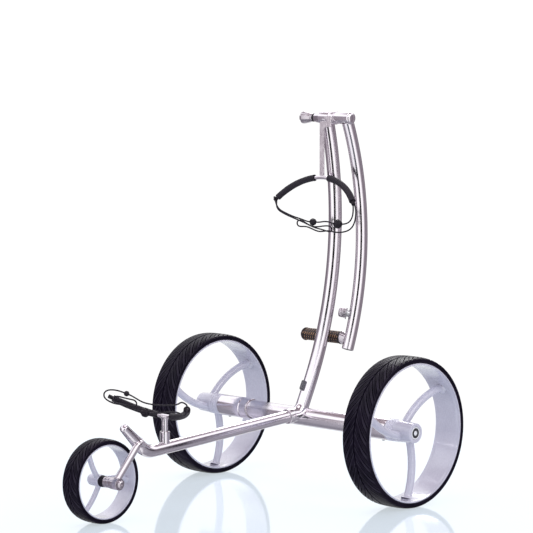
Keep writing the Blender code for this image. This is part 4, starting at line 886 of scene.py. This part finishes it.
def stem():
    path = stem_path()
    top = (path[-1] - path[-2]).normalized()
    tube = sweep("stem_polished", path[:-1] + [path[-1] - top * (BARREL_R * 0.8)], STEM_R, 64)
    place_piece(tube, "steel", "frame", "stem_tube")
    seam = saddle(HINGE, X_AXIS, BARREL_R, -top, STEM_R * 0.93)
    bead = weld_bead("stem_top_weld", seam, radius=0.0009, seed=1)
    place_piece(bead, "weld", "frame")
    turned("collar_polished", [
        (COLLAR_R, COLLAR_HALF), (COLLAR_R, -COLLAR_HALF), (0.0128, -COLLAR_HALF), (0.0128, COLLAR_HALF),
    ], 0.0012, COLLAR, FRONT_DIR, "steel", "frame", "socket_collar", count=5)
    low = FRONT_TUBE_R + 0.0006
    high = low + 0.0055
    turned("lock_button_domed", [
        (0.0, high), (0.0022, high - 0.0001), (0.0038, high - 0.0007), (0.0045, high - 0.0018), (0.0045, low),
        (0.0, low),
    ], 0.0004, COLLAR, X_AXIS, "steel", "lock_button", "lock_button", steps=48)
    place_piece(socket_piece(path), "grey_plastic", "frame", "battery_socket")


def socket_piece(path):
    """A moulded socket with a rounded shell and a recessed face."""
    at, along = at_height(path, AXLE.z + 0.058)
    out = X_AXIS.cross(along).normalized()
    out = out if out.y < 0 else -out
    size = Vector((0.009, 0.0155, 0.02))
    face = at + out * (STEM_R + 0.0075)
    recess = 0.0012
    shape = bmesh.new()
    bmesh.ops.create_cube(shape, size=1.0)
    bmesh.ops.scale(shape, vec=size, verts=shape.verts)
    bmesh.ops.bevel(shape, geom=shape.edges[:], offset=0.0014, segments=4, affect="EDGES")
    front = max(shape.faces, key=lambda f: f.calc_center_median().y * f.calc_area())
    bmesh.ops.inset_region(shape, faces=[front], thickness=recess)
    bmesh.ops.translate(shape, vec=(0, -recess, 0), verts=front.verts)
    basis = Matrix((X_AXIS, out, along)).transposed().to_4x4()
    place = Matrix.Translation(face - out * size.y / 2) @ basis
    return finished(shape, "battery_socket_shell", place, facing=False)


# Front frame

def front_frame():
    body = "front_frame"
    tip = NOSE_BEND + NOSE_DIR * NOSE_LENGTH
    start = COLLAR - FRONT_DIR * (COLLAR_HALF - GAP)
    path = filleted([start, NOSE_BEND, tip], NOSE_BEND_R, 28)
    steps = 24
    straight = [path[0].lerp(path[1], t / steps) for t in range(steps)]
    nose = [path[-2].lerp(path[-1], t / steps) for t in range(1, steps + 1)]
    narrowing = [FRONT_TUBE_R + (NOSE_TIP_R - FRONT_TUBE_R) * t / steps for t in range(1, steps + 1)]
    bent = straight + path[1:-1]
    radii = [FRONT_TUBE_R] * len(bent) + narrowing
    tube = sweep("front_tube_polished", bent + nose, radii, 64, round_end=0.0052)
    place_piece(tube, "steel", body, "front_tube", "nose_cap")
    turned("nose_weld_ring", [(0.0128, 0.0012), (0.0128, -0.0012), (0.011, -0.0012), (0.011, 0.0012)], 0.0006,
           NOSE_BEND + NOSE_DIR * 0.03, NOSE_DIR, "steel", body, steps=64)

    boss_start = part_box("front_spacer")[1].x + GAP
    boss_length = 0.022
    boss_end = boss_start + boss_length
    foot = FRONT_AXLE + Vector((boss_start + boss_length * 0.58, 0.001, 0.0115 * 0.62))
    elbow = NOSE_BEND + NOSE_DIR * 0.0356 + X_AXIS * FRONT_TUBE_R * 0.76
    root = NOSE_BEND + NOSE_DIR * 0.012 + Vector((FRONT_TUBE_R * 0.35, 0, FRONT_TUBE_R * 0.32))
    arm = sweep("fork_arm_bar", evenly(filleted([foot, elbow, root], 0.01, 20), 0.002), 0.007)
    boss = spun("fork_boss", [
        (0.0115, boss_start), (0.0115, boss_end), (BOLT_HOLE_R, boss_end), (BOLT_HOLE_R, boss_start),
    ], 0.0008, FRONT_AXLE, X_AXIS, 72, count=5)
    fork = place_piece(joined("fork_arm_polished", [arm, boss]), "steel", body, "fork_arm")
    paint(fork, "cast_steel", lambda spot: off_line(spot, FRONT_AXLE) < 0.0117)

    head = boss_end + GAP
    bolt_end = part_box("front_axle")[0].x
    turned("front_axle_bolt", [
        (0.0, head + 0.0036), (0.0021, head + 0.0036), (0.0021, head + 0.0055), (0.0042, head + 0.0054),
        (0.0064, head + 0.0042), (0.0075, head + 0.0022), (0.0075, head), (0.004, head), (0.004, bolt_end),
        (0.0, bolt_end),
    ], 0.0003, FRONT_AXLE, X_AXIS, "cast_steel", body, "front_axle", steps=64)
    low, high = span("front_spacer")
    turned("front_spacer_turned", [
        (0.0105, low), (0.0105, low + 0.005), (0.0098, low + 0.0056), (0.0098, low + 0.0066),
        (0.0105, low + 0.0072), (0.0105, high), (BOLT_HOLE_R, high), (BOLT_HOLE_R, low),
    ], 0.0004, FRONT_AXLE, X_AXIS, "cast_steel", body, "front_spacer", steps=64)

    low, high = span("lower_bracket_nut", 2)
    flat = 0.0097

    def facets(angle, radius, height):
        if radius < 0.009 or not low + 0.004 < height < high - 0.004:
            return radius
        step = math.pi / 4
        return radius * (math.cos(step / 2) / math.cos((angle % step) - step / 2) * 0.35 + 0.65)

    turned("lower_bracket_sleeve", [
        (0.0085, high), (0.0093, high - 0.0006), (flat, high - 0.002), (flat, high - 0.0045),
        (flat, low + 0.0045), (flat, low), (0.0062, low), (0.0062, high),
    ], None, Vector((0, LOWER_CRADLE.y, 0)), Z_AXIS, "steel", body, "lower_bracket_nut", ripple=facets)


# Cradles

def cradle_drop(tilt):
    return Vector((0, -math.cos(tilt), -math.sin(tilt)))


def cradle_point(centre, tilt, angle):
    out = X_AXIS * math.sin(angle) + cradle_drop(tilt) * (1 - math.cos(angle))
    return centre + CRADLE_BEND_R * out


def cradle(level, centre, tilt):
    """The bent bar with its dipped tips, and its two foam pads."""
    body = level + "_cradle"
    limit = math.asin(CRADLE_HALF_WIDTH / CRADLE_BEND_R)
    path = [cradle_point(centre, tilt, limit * (2 * i / 80 - 1)) for i in range(81)]
    start = path[0] + (path[0] - path[1]).normalized() * BAR_TIP
    end = path[-1] + (path[-1] - path[-2]).normalized() * BAR_TIP
    parts = [sweep(level + "_bar", [start] + path + [end], BAR_R, 40, round_start=0.0008, round_end=0.0008)]
    if level == "lower":
        foot, z = span("lower_cradle", 2)[0], centre.z
        parts.append(spun("lower_post", [
            (0.0, foot), (0.0059, foot), (0.0059, z - 0.011), (0.0062, z - 0.007), (0.0076, z - 0.0036),
            (0.0098, z - 0.001), (0.009, z + 0.001), (0.0, z + 0.0012),
        ], 0.0006, Vector((0, centre.y, 0)), Z_AXIS, 64))
    bar = place_piece(joined(level + "_cradle_bar", parts), "steel", body, level + "_cradle")
    paint(bar, "rubber", lambda spot: abs(spot.x) > CRADLE_HALF_WIDTH + DIPPED_FROM)
    first = math.asin(PAD_START / CRADLE_BEND_R)
    for side, sign in (("left", 1), ("right", -1)):
        arc = [cradle_point(centre, tilt, sign * (first + (limit - first) * i / 70)) for i in range(71)]
        radii = [PAD_R * pad_shape(i / 70, side == "left") for i in range(71)]
        pad = sweep(f"{level}_foam_{side}", arc, radii, wall=PAD_R - BAR_R - GAP)
        place_piece(pad, "foam", body, f"{level}_pad_{side}", smooth_deg=50)


def pad_shape(share, first_side):
    """Foam hose isn't quite even: it bulges a little at both ends and narrows in a few soft waves."""
    phase = 0.6 if first_side else 2.1
    wave = 0.014 * math.sin(9.0 * share + phase) + 0.008 * math.sin(23.0 * share + 2 * phase)
    end = 0.02 * math.exp(-(share / 0.04) ** 2) + 0.02 * math.exp(-((1 - share) / 0.04) ** 2)
    return 0.985 + wave + end


def ribbed_ball(name, centre, along, radius, body, node):
    """A moulded ball toggle with ribs along it and a bore for the cord."""
    bore = CORD_R + 0.0006
    first = math.asin(bore / radius)
    angles = [first + (math.pi - 2 * first) * i / 32 for i in range(33)]

    def ribs(angle, r, height):
        share = min(1.0, max(0.0, (r - bore * 1.8) / (radius * 0.35)))
        dip = 0.5 - 0.5 * math.cos(10 * angle)
        return r * (1 - 0.085 * share * (1 - dip) ** 1.5)

    rows = [(radius * math.sin(a), radius * math.cos(a)) for a in angles]
    return turned(name, rows, None, centre, along, "rubber", body, node, steps=120, smooth_deg=60,
                  ripple=ribs)


def elastic_cords():
    sets = (
        ("upper", UPPER_CRADLE, UPPER_CORD, (("large", 66, 0.0095), ("small", 60, 0.0075))),
        ("lower", LOWER_CRADLE, LOWER_CORD, (("large", 43, 0.0095), ("small", 14, 0.0055))),
    )
    for level, centre, points, toggles in sets:
        route = [centre + Vector([v / MM_PER_M for v in p]) for p in points]
        line = smooth_route(route, CORD_SPACING)
        curve = bpy.data.curves.new(level + "_elastic_cord", "CURVE")
        curve.dimensions = "3D"
        curve.bevel_depth = CORD_R
        curve.bevel_resolution = 4
        curve.resolution_u = 5
        curve.use_fill_caps = True
        spline = curve.splines.new("NURBS")
        spline.points.add(len(line) - 1)
        for point, spot in zip(spline.points, line):
            point.co = (*spot, 1.0)
        spline.order_u = 4
        spline.use_endpoint_u = True
        cord = bpy.data.objects.new(level + "_elastic_cord", curve)
        body = level + "_cradle"
        place_piece(cord, "cord", body, level + "_bungee")
        for size, index, radius in toggles:
            along = route[index + 1] - route[index - 1]
            name = f"{level}_toggle_{size}"
            ribbed_ball(name + "_ribbed", route[index], along, radius, body, name)


# Top hinge

def top_hinge():
    low, high = span("stem_barrel")
    turned("stem_barrel_polished", [
        (0.0092, low), (0.0096, low + 0.0012), (0.0113, low + 0.009), (BARREL_R, low + 0.0165),
        (BARREL_R, high), (BOLT_HOLE_R, high), (BOLT_HOLE_R, low),
    ], 0.0005, HINGE, X_AXIS, "steel", "frame", "stem_barrel")
    low, high = span("hinge_washer")
    turned("hinge_washer_rubber", [
        (0.0088, low + 0.0004), (0.0088, high - 0.0004), (0.008, high), (BOLT_HOLE_R, high),
        (BOLT_HOLE_R, low), (0.008, low),
    ], 0.0004, HINGE, X_AXIS, "rubber", "frame", "hinge_washer", steps=64)

    low, high = span("clamp_knob")
    low -= KNOB_LONGER

    def flutes(angle, radius, height):
        share = min(1.0, max(0.0, (high - 0.004 - height) / 0.01)) if radius > 0.005 else 0.0
        dip = max(0.0, math.cos(5 * angle)) ** 2
        return radius * (1 - 0.09 * share * dip)

    turned("clamp_knob_fluted", [
        (0.0, low + 0.001), (0.0098, low + 0.0006), (0.0108, low), (0.0124, low + 0.0007),
        (0.0129, low + 0.0022), (0.0127, low + 0.006), (0.0117, low + 0.0125), (0.0103, low + 0.019),
        (0.009, low + 0.0245), (0.0085, high - 0.0006), (0.0081, high), (BOLT_HOLE_R, high),
        (BOLT_HOLE_R, high - 0.015), (0.0, high - 0.015),
    ], 0.0006, HINGE, X_AXIS, "cast_steel", "clamp_knob", "clamp_knob", steps=120, smooth_deg=50,
        ripple=flutes)

    low, high = span("handle_barrel")
    turned("handle_barrel_polished", [
        (0.0, high), (0.004, high - 0.0002), (0.008, high - 0.0011), (0.0107, high - 0.0026),
        (0.012, high - 0.0044), (BARREL_R, high - 0.0068), (BARREL_R, low), (BOLT_HOLE_R, low),
        (BOLT_HOLE_R, high - 0.012), (0.0, high - 0.012),
    ], 0.0006, HINGE, X_AXIS, "steel", "handle", "handle_barrel")


def bracket_arm():
    """The strap that hangs the upper cradle from its ring on the hinge, bent from one flat bar."""
    ring_low, ring_high = 0.0123, 0.0267
    ring = spun("bracket_ring_polished", [
        (0.0135, ring_low), (0.0135, ring_high), (BOLT_HOLE_R, ring_high), (BOLT_HOLE_R, ring_low),
    ], 0.0007, HINGE, X_AXIS)
    thick = 0.0015
    y = UPPER_CRADLE.y
    bottom = UPPER_CRADLE.z + BAR_R + GAP
    tab_low, tab_high = HINGE.z - 0.0185, HINGE.z - 0.007
    outline = [
        (-0.006, bottom), (0.006, bottom), (0.006, tab_low - 0.006), (0.0075, tab_low - 0.0018),
        (0.012, tab_low), (0.0255, tab_low), (0.0255, HINGE.z + 0.004), (0.0135, HINGE.z + 0.004),
        (0.0135, tab_high), (-0.0035, tab_high), (-0.0055, tab_high - 0.0012), (-0.006, tab_high - 0.0035),
    ]
    shape = bmesh.new()
    front = [shape.verts.new((x, y - thick, z)) for x, z in outline]
    behind = [shape.verts.new((x, y + thick, z)) for x, z in outline]
    shape.faces.new(front)
    shape.faces.new(behind[::-1])
    for i in range(len(outline)):
        j = (i + 1) % len(outline)
        shape.faces.new((front[i], behind[i], behind[j], front[j]))
    bmesh.ops.recalc_face_normals(shape, faces=shape.faces)
    rims = [e for e in shape.edges if abs(e.verts[0].co.y - e.verts[1].co.y) < ON_AXIS]
    bmesh.ops.bevel(shape, geom=rims, offset=0.0006, segments=3, affect="EDGES")
    strap = finished(shape, "bracket_strap", facing=False)
    arm = joined("upper_bracket_polished", [ring, strap])
    place_piece(arm, "steel", "upper_cradle", "upper_bracket_arm")
    # The strap gets the rougher satin steel, whose lighter tint is a painted stand-in for its bright
    # reflections
    paint(arm, "satin_steel_painted_lighter", lambda spot: off_line(spot, HINGE) > 0.0155)


# Handle

def handle():
    top = HINGE + X_AXIS * HANDLE_X
    back = (HANDLE_END - top).cross(X_AXIS).normalized()
    back = back if back.y > 0 else -back
    path = arc_between(top, HANDLE_END, back * HANDLE_BOW, 64)
    down = (path[1] - path[0]).normalized()
    tube = sweep("handle_polished", [top + down * BARREL_R * 0.8] + path[1:], HANDLE_R, 64, wall=TUBE_WALL)
    place_piece(tube, "steel", "handle", "handle_tube")
    seam = saddle(top, X_AXIS, BARREL_R, down, HANDLE_R * 0.97)
    bead = weld_bead("handle_weld", seam, radius=0.0008, seed=2)
    place_piece(bead, "weld", "handle")
    turned("handle_plug_moulded", [
        (0.0, -0.0012), (0.008, -0.0012), (0.0092, -0.0006), (0.0104, -0.0006), (0.0104, -0.01),
        (0.0, -0.01),
    ], 0.0004, path[-1], path[-1] - path[-2], "black_plastic", "handle", "handle_end_plug", steps=64)

    at, _ = at_height(path, GRIP_Z)
    line = on_centre_line(at)
    near = at.x - HANDLE_R * 0.75
    turned("grip_collar_flared", [
        (0.0, near + 0.004), (0.0088, near + 0.004), (0.0088, 0.0385), (0.01, 0.035), (0.0122, 0.0305),
        (0.0135, 0.0282), (0.0137, 0.0268), (0.0132, 0.026), (0.0095, 0.026), (0.0095, -0.0797),
        (0.0, -0.0797),
    ], 0.0006, line, X_AXIS, "cast_steel", "handle", "grip_core", steps=72)
    braided_grip(line, -0.0795, 0.0256)
    turned("grip_cap_domed", [
        (0.0, -0.0858), (0.005, -0.0856), (0.0085, -0.0848), (0.0112, -0.0832), (0.0127, -0.0812),
        (0.013, -0.0803), (0.0, -0.0803),
    ], 0.0005, line, X_AXIS, "steel", "handle", "grip_end_cap", steps=72)
    speed_dial(path)


def braided_grip(line, low, high):
    """Ten flat leather strands, five each way, laid over and under each other round the grip."""
    turned("grip_under_wrap", [(0.0118, low), (0.0118, high), (0.0098, high), (0.0098, low)], 0.0005,
           line, X_AXIS, "leather_dark", "handle", "grip_sleeve", steps=72)
    for way, tag, half in ((1, "dark", 0.0036), (-1, "tan", 0.0008)):
        parts = [strand(f"grip_{tag}_{s}", line, low, high, way, 2 * math.pi * s / STRANDS, half)
                 for s in range(STRANDS)]
        place_piece(joined(f"grip_braid_{tag}", parts), "leather_" + tag, "handle", smooth_deg=60)
    for spot in (low + 0.0022, high - 0.0022):
        turned(f"grip_band_{round(spot * 1e4)}", [
            (0.0134, spot - 0.002), (0.0138, spot - 0.0008), (0.0138, spot + 0.0008), (0.0134, spot + 0.002),
            (0.0115, spot + 0.002), (0.0115, spot - 0.002),
        ], 0.0004, line, X_AXIS, "leather_dark", "handle", steps=72)


def strand(name, line, low, high, way, start, half):
    """One flat leather strand round the grip, weaving over and under those that cross it."""
    count = 150
    length = high - low
    full_turn = 2 * math.pi * length / STRAND_PITCH
    shape = bmesh.new()
    rows = []
    for i in range(count + 1):
        share = i / count
        over = math.sin(STRANDS * (full_turn * share + way * start))
        row = []
        for across, lift in ((-1.0, -0.00045), (-0.75, 0.0), (0.0, 0.00022), (0.75, 0.0), (1.0, -0.00045)):
            radius = 0.01262 + 0.00042 * way * over + lift
            lean = math.atan(full_turn * radius / length)
            x = low + length * share + across * half * math.sin(lean)
            angle = start + way * (full_turn * share - across * half * math.cos(lean) / radius)
            spot = Vector((min(high, max(low, x)), radius * math.cos(angle), radius * math.sin(angle)))
            row.append(shape.verts.new(line + spot))
        rows.append(row)
    for a, b in zip(rows, rows[1:]):
        for k in range(4):
            shape.faces.new((a[k], a[k + 1], b[k + 1], b[k]))
    return finished(shape, name)


def speed_dial(path):
    at, along = at_height(path, DIAL_Z)
    out = Vector((-math.cos(DIAL_TURN), -math.sin(DIAL_TURN), 0))
    out = (out - along * out.dot(along)).normalized()
    low = HANDLE_R + 0.0045
    high = low + 0.002
    turned("dial_flange", [
        (0.0, high), (0.0127, high), (0.0127, low), (0.0075, low), (0.0068, 0.011), (0.0, 0.011),
    ], 0.0005, at, out, "dark_steel", "handle", "dial_base", steps=72)
    start = high + GAP
    top = start + 0.0155
    side = 0.01

    def knurl(angle, radius, height):
        if radius < 0.009 or not start + 0.0015 < height < start + 0.0085:
            return radius
        return radius - 0.00035 * (0.5 - 0.5 * math.cos(40 * angle)) ** 2

    turned("speed_dial_knurled", [
        (0.0, top), (0.004, top - 0.0002), (0.0068, top - 0.0009), (0.0086, top - 0.0021),
        (0.0096, top - 0.0038), (side, top - 0.006), (side, start + 0.0088), (side, start + 0.0084),
        (side, start + 0.0016), (side, start + 0.0011), (0.0097, start), (0.0, start),
    ], None, at, out, "cast_steel", "speed_dial", "speed_dial", steps=240, ripple=knurl)


make_camera()
elastic_cords()
make_world()
make_light("key", (2.6, 0.2, 2.6), 1.6, 22)
make_light("back", (-1.6, 2.6, 2.4), 1.2, 26)
make_light("top", (-0.4, -0.2, 3.0), 1.6, 14)
make_floor()
rear_axle()
rear_wheel("left", 1)
rear_wheel("right", -1)
front_wheel()
stem()
front_frame()
cradle("upper", UPPER_CRADLE, UPPER_TILT)
cradle("lower", LOWER_CRADLE, LOWER_TILT)
top_hinge()
bracket_arm()
handle()

# Inner parts keep their CAD shapes
HIDDEN = {
    "dark_steel": ("left_motor", "right_motor", "left_gearbox", "right_gearbox", "left_shaft_bearing",
                   "right_shaft_bearing", "left_drive_shaft", "right_drive_shaft", "front_spigot",
                   "front_bearing", "hinge_bolt"),
    "black_plastic": ("controller_board",),
}
for look, names in HIDDEN.items():
    for name in names:
        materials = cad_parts[name].data.materials
        materials.clear()
        materials.append(LOOKS[look][1])
